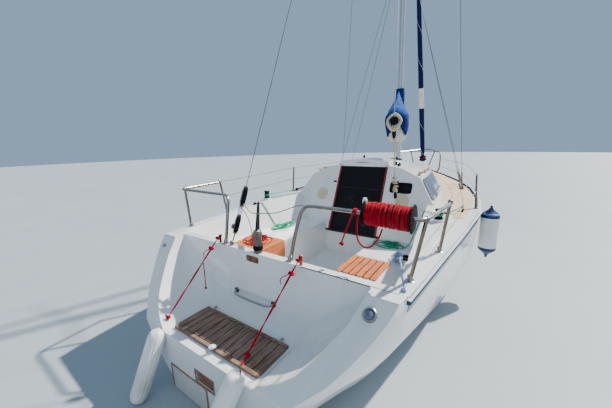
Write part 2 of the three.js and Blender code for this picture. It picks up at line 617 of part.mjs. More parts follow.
// Guard lines: a stanchion a side, with two lines from the stern rail to the bow rail
for (const [name, side] of [['guardrail_port', 1], ['guardrail_starboard', -1]]) {
  const y = (v) => side * v;
  const at = [2180, y(1284)];
  const top = [2180, y(1257), 1392];
  const post = bar([...at, 1000], top, 12, 10);
  const line = (points) => tube(points, WIRE, 12, 8);
  const upper = [bar([694, y(1201), RAIL_Z], [2180, y(1257), 1384], WIRE, WIRE, 8),
    line([[2180, y(1257), 1384], [3400, y(1040), 1392], [4884, y(466), 1380]])];
  const lower = [bar([706, y(1192), 1180], [2180, y(1272), 1200], WIRE, WIRE, 8),
    line([[2180, y(1272), 1200], [3400, y(1052), 1212], [4840, y(474), 1235]])];
  add(name, union([post, railFoot(...at), ...upper, ...lower]).subtract(deckTop), STEEL);
}

// Spars, built along the raked mast's own axis
const rig = new THREE.Group();
rig.position.set(MAST_X, 0, MAST_FOOT_Z);
rig.rotation.y = -MAST_RAKE;
group.add(rig);
const MAST_HALF = [50, 36];
const mastTube = bar([0, 0, 4], [0, 0, MAST_LENGTH], 50, 50, 16).scale([1, MAST_HALF[1] / 50, 1]);
const mastFoot = bar([0, 0, -14], [0, 0, 6], 78, 70, 16);
const SPREADER = { z: 3150, tip: 690, sweep: 150 };
const spreaders = [1, -1].map((side) => bar([0, 0, SPREADER.z],
  [-SPREADER.sweep, side * SPREADER.tip, SPREADER.z + 45], 15, 10));
const CRANE = { aft: 118, fore: 60, z: MAST_LENGTH };
const crane = block([-CRANE.aft, -12, CRANE.z - 4], [CRANE.fore, 12, CRANE.z + 26]);
const BOOM_PIN = { x: -78, z: BOOM_Z - MAST_FOOT_Z };
const lug = block([-92, -13, BOOM_PIN.z - 36], [-40, 13, BOOM_PIN.z - 26])
  .add(block([-92, -13, BOOM_PIN.z + 26], [-40, 13, BOOM_PIN.z + 36]));
const goosePin = bar([BOOM_PIN.x, 0, BOOM_PIN.z - 34], [BOOM_PIN.x, 0, BOOM_PIN.z + 34], 6);
const forestayTang = block([40, -10, 5220], [96, 10, 5262]);
const mastBody = union([mastTube, mastFoot, ...spreaders, crane, lug, goosePin, forestayTang]);
const roofInRig = roofOuter.translate([-MAST_X, 0, -MAST_FOOT_Z + GAP])
  .rotate([0, MAST_RAKE * 180 / Math.PI, 0]);
add('mast', mastBody.subtract(roofInRig), ALLOY, rig);

// The sail cover's front part is laced round the mast and stays with it
const BOOT = { low: BOOM_PIN.z + 60, high: BOOM_PIN.z + 500, radius: 66 };
const boot = turned([[50.4, BOOT.low], [BOOT.radius + 6, BOOT.low], [BOOT.radius + 4, BOOT.low + 250],
  [BOOT.radius - 6, BOOT.high], [50.4, BOOT.high], [50.4, BOOT.low]], [0, 0, 0], 20)
  .scale([1, (MAST_HALF[1] + 8) / 50, 1]);
add('mast_cover', boot, NAVY, rig);

// Boom, swung to starboard, with its topping lift to the crane
const boomRig = new THREE.Group();
boomRig.position.set(BOOM_PIN.x, 0, BOOM_PIN.z);
boomRig.rotation.z = radians(BOOM_ANGLE);
rig.add(boomRig);
const boomTube = bar([-70, 0, 0], [-BOOM_LENGTH, 0, 0], 34, 34, 16);
const boomEye = block([-74, -11, -20], [12, 11, 20]).subtract(bar([0, 0, -30], [0, 0, 30], 6.5));
const boomEnd = bar([-BOOM_LENGTH + 20, 0, 0], [-BOOM_LENGTH - 30, 0, 0], 42, 38, 16);
const lift = bar([-BOOM_LENGTH, 0, 20], [-2, 0, MAST_LENGTH - BOOM_PIN.z - 5], WIRE, WIRE, 8);
add('boom', union([boomTube, boomEye, boomEnd, lift]), ALLOY, boomRig);

// Sail and its cover lie along the boom: columns are place along the boom, half-width,
// height above the boom and depth below it
const COVER = [[-175, 64, 440, 60], [-420, 98, 390, 100], [-900, 112, 300, 140], [-1500, 118, 215, 165],
  [-2060, 114, 122, 175], [-2110, 90, 98, 150]];
const coverRing = ([x, half, up, down]) => Array.from({ length: 16 }, (_, i) => {
  const turn = i / 16 * 2 * Math.PI;
  const rise = Math.sin(turn) > 0 ? up : down;
  const pinch = Math.sin(turn) > 0 ? 1 - 0.55 * Math.sin(turn) ** 3 * (up > 200 ? 1 : 0.3) : 1;
  return [x, half * Math.cos(turn) * pinch, Math.sin(turn) * rise];
});
const coverBore = bar([-BOOM_LENGTH, 0, 0], [0, 0, 0], 34 + GAP, 34 + GAP, 16);
const liftBore = bar([-BOOM_LENGTH, 0, 20], [-2, 0, MAST_LENGTH - BOOM_PIN.z - 5], 9, 9, 8);
add('sail_cover', loft(COVER.map(coverRing)).subtract(coverBore).subtract(liftBore), NAVY, boomRig);

// Forestay with the rolled jib on its foil, turning on the stay above the drum
const STAY_HEAD = [MAST_X + 68 - Math.sin(MAST_RAKE) * 5240, 0, MAST_FOOT_Z + 5240 * Math.cos(MAST_RAKE)];
const stayAxis = vec(STAY_HEAD).sub(vec(FORESTAY_FOOT)).normalize();
const stayPoint = (distance) => vec(FORESTAY_FOOT).addScaledVector(stayAxis, distance).toArray();
const stayLength = vec(STAY_HEAD).distanceTo(vec(FORESTAY_FOOT));
const stay = bar(stayPoint(-95), stayPoint(stayLength - 10), WIRE + 1, WIRE + 1, 10);
const tangCut = block([40 - GAP, -11, 5220 - GAP], [96 + GAP, 11, 5270])
  .rotate([0, -MAST_RAKE * 180 / Math.PI, 0]).translate([MAST_X, 0, MAST_FOOT_Z]);
const stemPlate = block([5460, -14, 1100], [5600, 14, 1146]);
add('forestay', union([stay, stemPlate]).subtract(deckTop).subtract(tangCut), STEEL);
const STAY_BORE = 4.9;
const jibRows = [[190, 30], [330, 46], [1400, 52], [3000, 40], [stayLength - 420, 20], [stayLength - 400, 9]];
const drumRows = [[110, 74], [120, 78], [128, 78], [130, 40], [178, 40], [180, 78], [188, 78]];
const rollProfile = [[STAY_BORE, 100], [30, 100], ...drumRows.map(([at, r]) => [r, at]),
  ...jibRows.map(([at, r]) => [r, at]), [STAY_BORE, stayLength - 400], [STAY_BORE, 100]];
const roll = new THREE.Group();
roll.position.set(...FORESTAY_FOOT);
roll.quaternion.setFromUnitVectors(new THREE.Vector3(0, 0, 1), stayAxis);
group.add(roll);
add('furled_jib', turned(rollProfile, [0, 0, 0], 20), NAVY, roll);

// Shrouds: cap shroud over the spreader and two lowers, on one chainplate strip a side
const toWorld = (x, y, z) => [
  MAST_X + x * Math.cos(MAST_RAKE) - z * Math.sin(MAST_RAKE), y,
  MAST_FOOT_Z + x * Math.sin(MAST_RAKE) + z * Math.cos(MAST_RAKE)];
for (const [name, side] of [['shrouds_port', 1], ['shrouds_starboard', -1]]) {
  const y = (v) => side * v;
  const plateZ = 1078;
  const plates = [[3215, y(1045)], [3400, y(1020)], [3590, y(975)]];
  const spreaderTip = toWorld(-SPREADER.sweep, y(SPREADER.tip + 18), SPREADER.z + 45);
  const heads = [toWorld(-20, y(44), SPREADER.z - 90), spreaderTip, toWorld(20, y(44), SPREADER.z - 90)];
  const wires = plates.map(([x, across], i) => bar([x, across, plateZ], heads[i], WIRE, WIRE, 8));
  const upper = bar(spreaderTip, toWorld(-10, y(44), MAST_LENGTH - 120), WIRE, WIRE, 8);
  const screws = plates.map(([x, across], i) => {
    const up = vec(heads[i]).sub(vec([x, across, plateZ])).normalize();
    const reach = (d) => vec([x, across, plateZ]).addScaledVector(up, d).toArray();
    return bar(reach(-20), reach(200), 8, 8, 8);
  });
  const strip = loft([[3150, 1052], [3660, 962]].map(([x, across]) => {
    const ring = [[x, y(across - 16), 1040], [x, y(across + 16), 1040], [x, y(across + 16), plateZ + 12],
      [x, y(across - 16), plateZ + 12]];
    return ring;
  }));
  add(name, union([...wires, upper, ...screws, strip]).subtract(deckTop), STEEL);
}

// Backstay to the port side of the transom, its tackle at the foot
const BACK_FOOT = [36, 303, TRANSOM_Z];
const backHead = toWorld(-CRANE.aft - 6, 0, CRANE.z + 8);
const backAxis = vec(backHead).sub(vec(BACK_FOOT)).normalize();
const backPoint = (distance) => vec(BACK_FOOT).addScaledVector(backAxis, distance).toArray();
const backWire = bar(backPoint(430), backHead, WIRE, WIRE, 8);
const tackle = [bar(backPoint(6), backPoint(460), 9, 9, 8), bar(backPoint(110), backPoint(215), 30, 24, 10),
  bar(backPoint(345), backPoint(440), 22, 30, 10)];
const backEye = railFoot(BACK_FOOT[0], BACK_FOOT[1], 13);
add('backstay', union([backWire, ...tackle, backEye]).subtract(deckTop), STEEL);

// Mainsheet from under the boom's end to its eye on the bulkhead
const boomPoint = (along, drop) => {
  const turn = radians(BOOM_ANGLE);
  return toWorld(BOOM_PIN.x - along * Math.cos(turn), -along * Math.sin(turn), BOOM_PIN.z - drop);
};
const sheetTop = boomPoint(BOOM_LENGTH - 10, 62);
const sheetFoot = [leanX(1000) - 26, -507, 1000];
const sheetAxis = vec(sheetTop).sub(vec(sheetFoot)).normalize();
const sheetPoint = (distance) => vec(sheetFoot).addScaledVector(sheetAxis, distance).toArray();
const sheetLength = vec(sheetTop).distanceTo(vec(sheetFoot));
const sheetParts = [bar(sheetPoint(40), sheetPoint(sheetLength - 30), 9, 9, 8),
  bar(sheetPoint(30), sheetPoint(110), 26, 22, 10),
  bar(sheetPoint(sheetLength - 90), sheetPoint(sheetLength - 12), 22, 26, 10),
  bar([sheetFoot[0] - 6, sheetFoot[1], 1010], [leanX(1010) + 30, sheetFoot[1], 1010], 11, 11, 10),
  bar(sheetPoint(-6), sheetPoint(50), 12, 12, 8)];
const bulkheadSolid = roofOuter.add(deckBody.subtract(cockpitCut)).add(hullBody.subtract(cockpitCut));
add('mainsheet', union(sheetParts).subtract(bulkheadSolid.translate([-GAP, 0, 0])), BLACK);

// Rope reel that turns on the starboard stern rail
const REEL = { y: [-1088, -800], flange: 84, rope: 73, x: 158, z: RAIL_Z };
const reelProfile = [[RAIL_RADIUS + 1, 0], [REEL.flange, 0], [REEL.flange, 14], [REEL.rope, 16],
  [REEL.rope + 2, 140], [REEL.rope - 2, 272], [REEL.flange * 0.82, 274], [REEL.flange * 0.82, 288],
  [RAIL_RADIUS + 1, 288], [RAIL_RADIUS + 1, 0]];
const reel = turned(reelProfile, [0, 0, 0], 28).rotate([-90, 0, 0])
  .translate([REEL.x, REEL.y[0], REEL.z]);
const reelKnob = bar([REEL.x, REEL.y[1] - 10, REEL.z + 52], [REEL.x, REEL.y[1] + 40, REEL.z + 52], 11);
add('rope_reel', reel.add(reelKnob), ROPE_RED);

// Teak seat boards: slats on the starboard seat, a boxed seat to port
const STARBOARD_TEAK = { x: [690, 1100], y: [-690, -312], slats: 6, slot: 8 };
const teakPitch = (STARBOARD_TEAK.y[1] - STARBOARD_TEAK.y[0]) / STARBOARD_TEAK.slats;
const teakSlots = Array.from({ length: STARBOARD_TEAK.slats - 1 }, (_, i) => {
  const y = STARBOARD_TEAK.y[0] + (i + 1) * teakPitch;
  return block([STARBOARD_TEAK.x[0] + 20, y - STARBOARD_TEAK.slot / 2, 0],
    [STARBOARD_TEAK.x[1] - 20, y + STARBOARD_TEAK.slot / 2, 1200]);
});
add('teak_seat_starboard', block([STARBOARD_TEAK.x[0], STARBOARD_TEAK.y[0], STARBOARD_SEAT_Z + GAP],
  [STARBOARD_TEAK.x[1], STARBOARD_TEAK.y[1], STARBOARD_SEAT_Z + 12]).subtract(union(teakSlots)), TEAK);
const portTeak = block([200, WELL_PORT_Y + 2, PORT_SEAT_Z + GAP], [770, 760, PORT_SEAT_Z + 14])
  .add(block([200, WELL_PORT_Y - 14, PORT_SEAT_Z - 170], [770, WELL_PORT_Y - GAP, PORT_SEAT_Z - 16]))
  .add(block([740, WELL_PORT_Y - 14, PORT_SEAT_Z - 30], [770, WELL_PORT_Y - GAP, PORT_SEAT_Z + 14]))
  .add(block([740, WELL_PORT_Y - 14, PORT_SEAT_Z + GAP], [770, WELL_PORT_Y + 30, PORT_SEAT_Z + 14]));
add('teak_seat_port', portTeak, TEAK);

// Handrails along the shoulders of the cabin top
const GRIP = { x: [2070, 2380, 2740, 3080], height: 42, radius: 12, over: 36 };
for (const [name, side] of [['handrail_port', 1], ['handrail_starboard', -1]]) {
  const at = (x, rise) => {
    const [y, z] = besideShoulder(x);
    return [x, side * y, z + rise];
  };
  const feet = GRIP.x.map((x) => bar(at(x, -30), at(x, GRIP.height), GRIP.radius + 1));
  const knots = [GRIP.x[0] - GRIP.over, ...GRIP.x, GRIP.x[3] + GRIP.over];
  const top = knots.slice(1).map((x, i) => bar(at(knots[i], GRIP.height), at(x, GRIP.height), GRIP.radius));
  add(name, union([...feet, ...top]).subtract(roofOuter.translate([0, 0, GAP])), TEAK);
}

// Fenders: two long ones at the stern, a fat one at the starboard side
function turnedAlong(profile, from, axis) {
  const geometry = new THREE.LatheGeometry(profile.map(([r, z]) => new THREE.Vector2(r, z)), 20);
  geometry.applyQuaternion(new THREE.Quaternion().setFromUnitVectors(
    new THREE.Vector3(0, 1, 0), axis.clone().normalize()));
  return solid(geometry.translate(...from));
}
function longFender(top, low) {
  const axis = vec(low).sub(vec(top));
  const length = axis.length();
  return turnedAlong([[0, 0], [22, 4], [52, 34], [62, 90], [62, length - 90], [52, length - 34],
    [22, length - 4], [0, length]], top, axis);
}
const clearHull = (body) => body.subtract(hullBody.subtract(sternCut).translate([-GAP, 0, 0]));
add('fender_stern_port', clearHull(longFender([-545, 480, 475], [-757, 500, 8])), FENDER);
add('fender_stern_starboard', clearHull(longFender([-545, -370, 545], [-757, -235, 78])), FENDER);
const fatProfile = [[0, 0], [14, 0], [18, 30], [60, 70], [104, 105], [112, 140], [112, 470], [104, 505],
  [60, 540], [20, 570], [14, 600], [0, 600]];
const fatFender = turnedAlong(fatProfile, [2180, -1430, 1055], new THREE.Vector3(0, 0, -1));
add('fender_side', fatFender.subtract(union([hullBody, rubSide(-1)]).translate([0, -GAP, 0])), FENDER);

// Ropes that hang or lie free: a tube along each route, and the outer shape of each coil
const ROPE = 4.5;
const LINE = 3;
const cordTube = (name, route, radius, steps, material) =>
  add(name, tube(route, radius, steps, 8), material);
function coil(name, [x, y, low], halves, height, material) {
  const outline = new THREE.Shape();
  outline.absellipse(0, 0, ...halves, 0, 2 * Math.PI, false);
  const ring = new THREE.ExtrudeGeometry(outline, { depth: height, curveSegments: 12, bevelEnabled: false });
  add(name, solid(ring.translate(x, y, low)), material);
}

// Port sheet: from the coaming's top, over its edge and down to the seat
const PORT_TAIL = [[1052, 1012, 1045.6], [1060, 985, 1048], [1070, 962, 1050.6], [1078, 946, 1051.6],
  [1084, 934, 1044], [1090, 922, 1024], [1096, 908, 998], [1102, 892, 968], [1108, 874, 935],
  [1114, 856, 902], [1120, 838, 869], [1126, 820, 837], [1132, 802, 806], [1138, 786, 784],
  [1146, 775, 774], [1152, 768, 771]];
cordTube('sheet_tail_port', PORT_TAIL, ROPE, 40, ROPE_GREEN);
coil('sheet_tail_port_coil', [1170, 700, PORT_SEAT_Z + GAP], [200, 62], 24, ROPE_GREEN);

// Starboard sheet, the same way down
const STARBOARD_TAIL = [[1480, -955, 1069], [1488, -928, 1072], [1494, -906, 1073], [1498, -887, 1073],
  [1503, -874, 1066], [1508, -867, 1042], [1512, -856, 1008], [1518, -842, 968], [1524, -826, 925],
  [1530, -811, 880], [1536, -795, 835], [1542, -779, 790], [1548, -763, 745], [1554, -748, 700],
  [1560, -734, 662], [1566, -722, 642], [1570, -706, 636]];
cordTube('sheet_tail_starboard', STARBOARD_TAIL, ROPE, 44, ROPE_GREEN);
coil('sheet_tail_starboard_coil', [1572, -535, STARBOARD_SEAT_Z + GAP], [66, 170], 30, ROPE_GREEN);

// Backstay tackle's tail, down to its pile on the port teak
const TACKLE_TAIL = [[180, 318, 1262], [200, 340, 1245], [228, 358, 1222], [258, 374, 1196],
  [288, 388, 1166], [316, 402, 1132], [342, 416, 1096], [366, 430, 1060], [386, 443, 1022],
  [404, 456, 984], [420, 468, 945], [434, 479, 906], [447, 489, 868], [460, 498, 832], [474, 508, 800],
  [489, 519, 783], [503, 530, 778], [516, 540, 777.6]];
cordTube('tackle_tail', TACKLE_TAIL, LINE, 60, ROPE_RED);
coil('tackle_tail_pile', [640, 600, PORT_SEAT_Z + 14 + GAP], [128, 145], 24, ROPE_RED);

// Tail of the rope on the reel: a loop below it, two turns round the rail, and a knotted end
const WRAP_RADIUS = 18.8;
const railTurn = (turn, y) => [REEL.x + WRAP_RADIUS * Math.cos(turn * Math.PI / 4), y,
  RAIL_Z + WRAP_RADIUS * Math.sin(turn * Math.PI / 4)];
const REEL_TAIL = [[158, -910, 1266], [158, -902, 1238], [158, -886, 1200], [158, -866, 1168],
  [158, -840, 1142], [158, -812, 1130], [158, -786, 1136], [158, -764, 1158], [158, -751, 1190],
  [159, -747, 1230], [162, -746, 1272], [170, -746, 1312],
  ...Array.from({ length: 13 }, (_, turn) => railTurn(turn, -745 + turn * 1.5)),
  [146, -716, 1322], [152, -698, 1280], [156, -674, 1222], [158, -655, 1172], [158, -643, 1135]];
cordTube('reel_tail', REEL_TAIL, ROPE, 80, ROPE_RED);

// Stern line: from the seat along the coaming to the corner, doubled
const STERN_LINE = [[1155, -732, 625.2], [1125, -752, 636], [1070, -778, 676], [1000, -804, 722],
  [920, -832, 762], [830, -862, 806], [740, -886, 850], [650, -908, 894], [560, -926, 938],
  [480, -940, 972], [420, -952, 990], [360, -972, 995], [300, -996, 990], [255, -1013, 985.5],
  [215, -1028, 981.5], [150, -1052, 977.8], [95, -1074, 976.4], [50, -1086, 975]];
cordTube('stern_line', STERN_LINE, ROPE, 74, ROPE_BLUE);

// Slack line between the backstay and the starboard stern rail
const SLACK_LINE = [[155, 265, 1296], [146, 228, 1280], [128, 190, 1268], [112, 150, 1258],
  [102, 112, 1252], [99, 75, 1251], [99, 38, 1255], [100, 4, 1260], [101, -40, 1266], [102, -84, 1272],
  [104, -127, 1280], [108, -172, 1294], [114, -216, 1311], [121, -260, 1330], [127, -304, 1346],
  [132, -342, 1353], [135, -368.6, 1353]];
cordTube('slack_line', SLACK_LINE, LINE, 72, ROPE_GREY);

// Lashings from the rim's pins to the platform, and the free end of one
const lashing = (name, route) => add(name, union(route.slice(1).map((point, i) =>
  bar(route[i], point, LINE, LINE, 8))), ROPE_RED);
const LASHING = { port: [[10.4, 427, 1030], [-468, 509, 497]],
  starboard: [[10.4, -405, 1024], [-396, -264, 480], [-452, -286, 479.4]] };
lashing('lashing_port', LASHING.port);
lashing('lashing_starboard', LASHING.starboard);
const LASHING_TAIL = [[-148, 452, 846.8], [-148, 451, 836], [-148, 450, 815], [-149, 449, 790],
  [-149, 449, 762], [-149, 449, 734], [-149, 449, 706], [-150, 449, 678], [-150, 450, 652], [-150, 452, 630]];
cordTube('lashing_tail_port', LASHING_TAIL, LINE, 30, ROPE_RED);

export default group;
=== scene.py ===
"""A small sailing yacht afloat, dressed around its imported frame.

Everything is in metres: +X forward, +Y to port, +Z up, with the waterline at z = 0.
"""

from math import cos, pi, radians, sin, sqrt

import bmesh
import bpy
import numpy as np
from mathutils import Matrix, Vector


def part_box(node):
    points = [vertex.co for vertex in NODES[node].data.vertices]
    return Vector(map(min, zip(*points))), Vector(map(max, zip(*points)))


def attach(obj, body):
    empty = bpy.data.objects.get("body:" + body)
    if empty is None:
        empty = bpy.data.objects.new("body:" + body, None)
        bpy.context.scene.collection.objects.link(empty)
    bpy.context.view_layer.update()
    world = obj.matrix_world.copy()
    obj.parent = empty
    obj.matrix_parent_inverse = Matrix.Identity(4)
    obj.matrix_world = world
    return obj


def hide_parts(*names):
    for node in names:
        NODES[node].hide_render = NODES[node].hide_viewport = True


bl_info = {
    "name": "Sailing yacht",
    "version": (1, 0, 0),
    "blender": (4, 5, 0),
    "location": "3D View > Sidebar > Yacht",
    "description": "Builds a small sailing yacht with its cockpit, rig and ropes",
    "category": "Add Mesh",
}

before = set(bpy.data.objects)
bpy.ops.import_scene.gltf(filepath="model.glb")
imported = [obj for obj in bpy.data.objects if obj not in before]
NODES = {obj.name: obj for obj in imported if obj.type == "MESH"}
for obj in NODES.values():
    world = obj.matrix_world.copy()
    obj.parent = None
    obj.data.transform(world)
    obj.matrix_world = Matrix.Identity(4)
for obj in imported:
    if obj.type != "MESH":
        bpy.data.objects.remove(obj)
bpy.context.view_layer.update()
MM = 0.001
X, Y, Z = np.eye(3)
SIDES = (("port", 1), ("starboard", -1))

MAST_FOOT = np.array((3.538, 0.0, 1.437))
MAST_RAKE = 0.062
BOOM_REST = radians(15.7)
TILLER_REST = radians(43)
RAIL_Z = 1.352
RAIL_RADIUS = 0.013
LEG_RADIUS = 0.0115
SHEET_RADIUS = 0.0052
LINE_RADIUS = 0.0038
SEAT_PORT_Z = 0.760
SEAT_STARBOARD_Z = 0.620
BULKHEAD_X = 1.660
SILL_Z = 0.656
LEAN = 0.454


# Points, paths and grids


def points(*rows):
    """Rows of millimetres as an array of metres."""
    return np.array(rows, float) * MM


def unit(v):
    """Each row divided by its own length."""
    v = np.asarray(v, float)
    return v / np.maximum(np.linalg.norm(v, axis=-1, keepdims=True), 1e-12)


def xyz(x, y, z):
    """Three coordinates, each a number or an array, as points."""
    return np.stack(np.broadcast_arrays(x, y, z), -1).astype(float)


def around(count):
    """The angles of one turn in equal steps."""
    return np.linspace(0, 2 * pi, count, endpoint=False)


def signed(w, power):
    """A power that keeps its sign: sign(w) |w|^p."""
    return np.sign(w) * np.abs(w) ** power


def circle(centre, radius, angle, side=X, up=Y):
    """Points round a centre: c + r (cos a side + sin a up)."""
    radius, angle = np.asarray(radius)[..., None], np.asarray(angle)[..., None]
    return centre + radius * (np.cos(angle) * side + np.sin(angle) * up)


def lengths(path):
    """How far along the path each point lies: the running sum of its steps."""
    return np.concatenate([[0.0], np.cumsum(np.linalg.norm(np.diff(path, axis=0), axis=1))])


def resampled(path, step):
    """The path's points at equal steps of its own length."""
    at = lengths(path)
    even = np.linspace(0.0, at[-1], max(2, int(round(at[-1] / step)) + 1))
    return np.stack([np.interp(even, at, path[:, k]) for k in range(3)], axis=1)


def spline(knots, step):
    """A smooth curve through the knots: on each stretch the cubic with the slopes (next - last) / 2."""
    knots = np.asarray(knots, float)
    ends = np.concatenate([[2 * knots[0] - knots[1]], knots, [2 * knots[-1] - knots[-2]]])
    a, b, c, d = ends[:-3, None], ends[1:-2, None], ends[2:-1, None], ends[3:, None]
    t = np.linspace(0.0, 1.0, 24, endpoint=False)[None, :, None]
    curve = 0.5 * (2 * b + (c - a) * t + (2 * a - 5 * b + 4 * c - d) * t ** 2
                   + (3 * b - a - 3 * c + d) * t ** 3)
    return resampled(np.concatenate([curve.reshape(-1, 3), knots[-1:]]), step)


def eased(path, reach, step=0.006):
    """A path with round corners: at each corner the curve (1-t)^2 a + 2t(1-t) b + t^2 c."""
    here = path[1:-1]
    back, on = path[:-2] - here, path[2:] - here
    far = np.minimum(reach, 0.48 * np.minimum(np.linalg.norm(back, axis=1),
                                              np.linalg.norm(on, axis=1)))[:, None]
    a, c = here + unit(back) * far, here + unit(on) * far
    t = np.linspace(0, 1, 9)[None, :, None]
    bends = (1 - t) ** 2 * a[:, None] + 2 * t * (1 - t) * here[:, None] + t ** 2 * c[:, None]
    return resampled(np.concatenate([path[:1], bends.reshape(-1, 3), path[-1:]]), step)


def frames(path):
    """The path's tangents with two side vectors, turned from point to point by no more than it bends."""
    tangent = unit(np.gradient(path, axis=0))
    first = np.cross(tangent[0], Z)
    if np.linalg.norm(first) < 0.1:
        first = np.cross(tangent[0], Y)
    side = [unit(first)]
    for t in tangent[1:]:
        side.append(unit(side[-1] - t * np.dot(side[-1], t)))
    side = np.array(side)
    return tangent, side, np.cross(tangent, side)


def square(axis, hint):
    """Three axes at right angles, the last one as given: hint x axis, axis x that, and the axis."""
    axis = unit(axis)
    side = unit(np.cross(hint, axis))
    return np.stack([side, np.cross(axis, side), axis])


def quads(rows, cols, round_cols=False, round_rows=False):
    """The quads of a rows x cols grid, joined to its first column or row where it is round."""
    r, c = np.meshgrid(np.arange(rows - (not round_rows)), np.arange(cols - (not round_cols)),
                       indexing="ij")
    r2, c2 = (r + 1) % rows, (c + 1) % cols
    return np.stack([r * cols + c, r * cols + c2, r2 * cols + c2, r2 * cols + c], -1).reshape(-1, 4)


def capped(surface):
    """A round-column grid with its two ends closed by one face each: a closed body."""
    rows, cols = surface.shape[:2]
    faces = [tuple(f) for f in quads(rows, cols, True)]
    faces += [tuple(range(cols - 1, -1, -1)), tuple(range((rows - 1) * cols, rows * cols))]
    return surface.reshape(-1, 3), faces


def joined(shapes):
    """Several shapes as one: their vertices in a row, their faces counted on."""
    faces, start = [], 0
    for verts, own in shapes:
        faces += [tuple(i + start for i in face) for face in own]
        start += len(verts)
    return np.concatenate([verts for verts, _ in shapes]), faces


def tube_shape(path, radius, sides=12, dome=True):
    """A circle carried along a path: p + r (cos a side + sin a up), closed by two round ends."""
    path = np.asarray(path, float)
    radius = np.full(len(path), float(radius))
    tangent, side, up = frames(path)
    if dome:
        lift = np.array([0.0, 0.45, 0.8])
        small = np.sqrt(1 - (1 - lift) ** 2).clip(0.12)
        path = np.concatenate([path[0] - tangent[0] * radius[0] * (0.6 - 0.6 * lift[:, None]), path,
                               path[-1] + tangent[-1] * radius[-1] * (0.6 - 0.6 * lift[::-1, None])])
        side, up = (np.concatenate([np.repeat(v[:1], 3, 0), v, np.repeat(v[-1:], 3, 0)])
                    for v in (side, up))
        radius = np.concatenate([small * radius[0], radius, small[::-1] * radius[-1]])
    return capped(circle(path[:, None], radius[:, None], around(sides)[None], side[:, None],
                         up[:, None]))


def rod(start, end, radius, sides, step=0.02):
    """A straight tube between two points."""
    return tube_shape(resampled(np.stack([start, end]), step), radius, sides)


def turned_shape(profile, origin, axis=Z, sides=32):
    """A profile of (radius, height) turned round an axis: o + h axis + r (cos a x + sin a y)."""
    axis = unit(axis)
    side = unit(np.cross((0.31, 0.77, 0.2), axis))
    profile = np.array(profile, float)
    return capped(circle(origin + profile[:, 1, None, None] * axis, np.maximum(profile[:, :1], 1e-4),
                         around(sides)[None], side, np.cross(axis, side)))


def block_shape(centre, half, sharp=0.22, turn=0.0, tip=0.0, sides=32):
    """A rounded block: half (c(v) c(u), c(v) s(u), s(v)), where c and s are powers of cos and sin."""
    u = around(sides)[None]
    v = np.linspace(-0.5 * pi + 0.02, 0.5 * pi - 0.02, sides // 2 + 1)[:, None]
    wide = signed(np.cos(v), sharp)
    flat = half * xyz(wide * signed(np.cos(u), sharp), wide * signed(np.sin(u), sharp),
                      signed(np.sin(v), sharp))
    lean = np.array([[cos(tip), 0, sin(tip)], Y, [-sin(tip), 0, cos(tip)]])
    spin = np.array([[cos(turn), -sin(turn), 0], [sin(turn), cos(turn), 0], Z])
    return capped(flat @ lean.T @ spin.T + centre)


def bar_shape(low, high, sharp, sides, tip=0.0):
    """A rounded block between its lowest and highest corner."""
    low, high = np.array(low), np.array(high)
    return block_shape((low + high) / 2, (high - low) / 2, sharp, tip=tip, sides=sides)


def plate_shape(half_x, half_y, thick, corner, bevel=0.0008):
    """A flat plate with round corners: a super-ellipse outline, drawn in at the top edge."""
    a = around(48)
    flat = np.stack([half_x * signed(np.cos(a), 2.0 / corner), half_y * signed(np.sin(a), 2.0 / corner)],
                    1)
    rows = ((0.0, 0.0), (thick - bevel, 0.0), (thick, bevel))
    return capped(np.stack([np.column_stack([flat - np.sign(flat) * np.minimum(np.abs(flat), cut),
                                             np.full(len(a), height)]) for height, cut in rows]))


def shell_shape(surface, thick, out=None):
    """A closed sheet: the grid, the same grid moved by its thickness along its normals, and a rim."""
    rows, cols = surface.shape[:2]
    if out is None:
        du, dv = np.gradient(surface, axis=0), np.gradient(surface, axis=1)
        out = unit(np.cross(dv, du))
    verts = np.concatenate([(surface + out * thick).reshape(-1, 3), surface.reshape(-1, 3)])
    half = rows * cols
    face = quads(rows, cols)
    faces = [tuple(f) for f in face] + [tuple(f) for f in (face[:, ::-1] + half)]
    grid = np.arange(half).reshape(rows, cols)
    border = np.concatenate([grid[0, :], grid[1:, -1], grid[-1, -2::-1], grid[-2:0:-1, 0]])
    faces += [(b, a, a + half, b + half) for a, b in zip(border, np.roll(border, -1))]
    return verts, faces


def knot_shape(at, size, axis=Z):
    """An overhand knot: s (sin t + 2 sin 2t, cos t - 2 cos 2t, -1.2 sin 3t) / 3 as a closed tube."""
    t = around(60)
    z = unit(axis)
    x = unit(np.cross((0.2, 0.9, 0.37), z))
    line = xyz(np.sin(t) + 2 * np.sin(2 * t), np.cos(t) - 2 * np.cos(2 * t), -1.2 * np.sin(3 * t))
    line = line * size / 3 @ np.stack([x, np.cross(z, x), z]) + at
    tangent = unit(np.roll(line, -1, 0) - np.roll(line, 1, 0))
    side = unit(np.cross(tangent, line - at + 1e-6))
    surface = circle(line[:, None], size * 0.34, around(10)[None], side[:, None],
                     -np.cross(side, tangent)[:, None])
    return surface.reshape(-1, 3), [tuple(f) for f in quads(60, 10, True, True)]


def set_in(shape, origin, axes):
    """A shape made at the origin, turned to the axes and moved to its place."""
    return shape[0] @ axes + origin, shape[1]


def along(direction, up=Z):
    """The axes of a fitting that points along a direction: itself, the side and its own up."""
    x = unit(direction)
    y = unit(np.cross(up, x))
    return np.stack([x, y, np.cross(x, y)])


# Pieces

FINISH = {}


def outward(mesh):
    """Merges a mesh's doubles and turns its faces outwards."""
    bm = bmesh.new()
    bm.from_mesh(mesh)
    bmesh.ops.remove_doubles(bm, verts=bm.verts, dist=1e-5)
    bmesh.ops.recalc_face_normals(bm, faces=bm.faces)
    bm.to_mesh(mesh)
    bm.free()


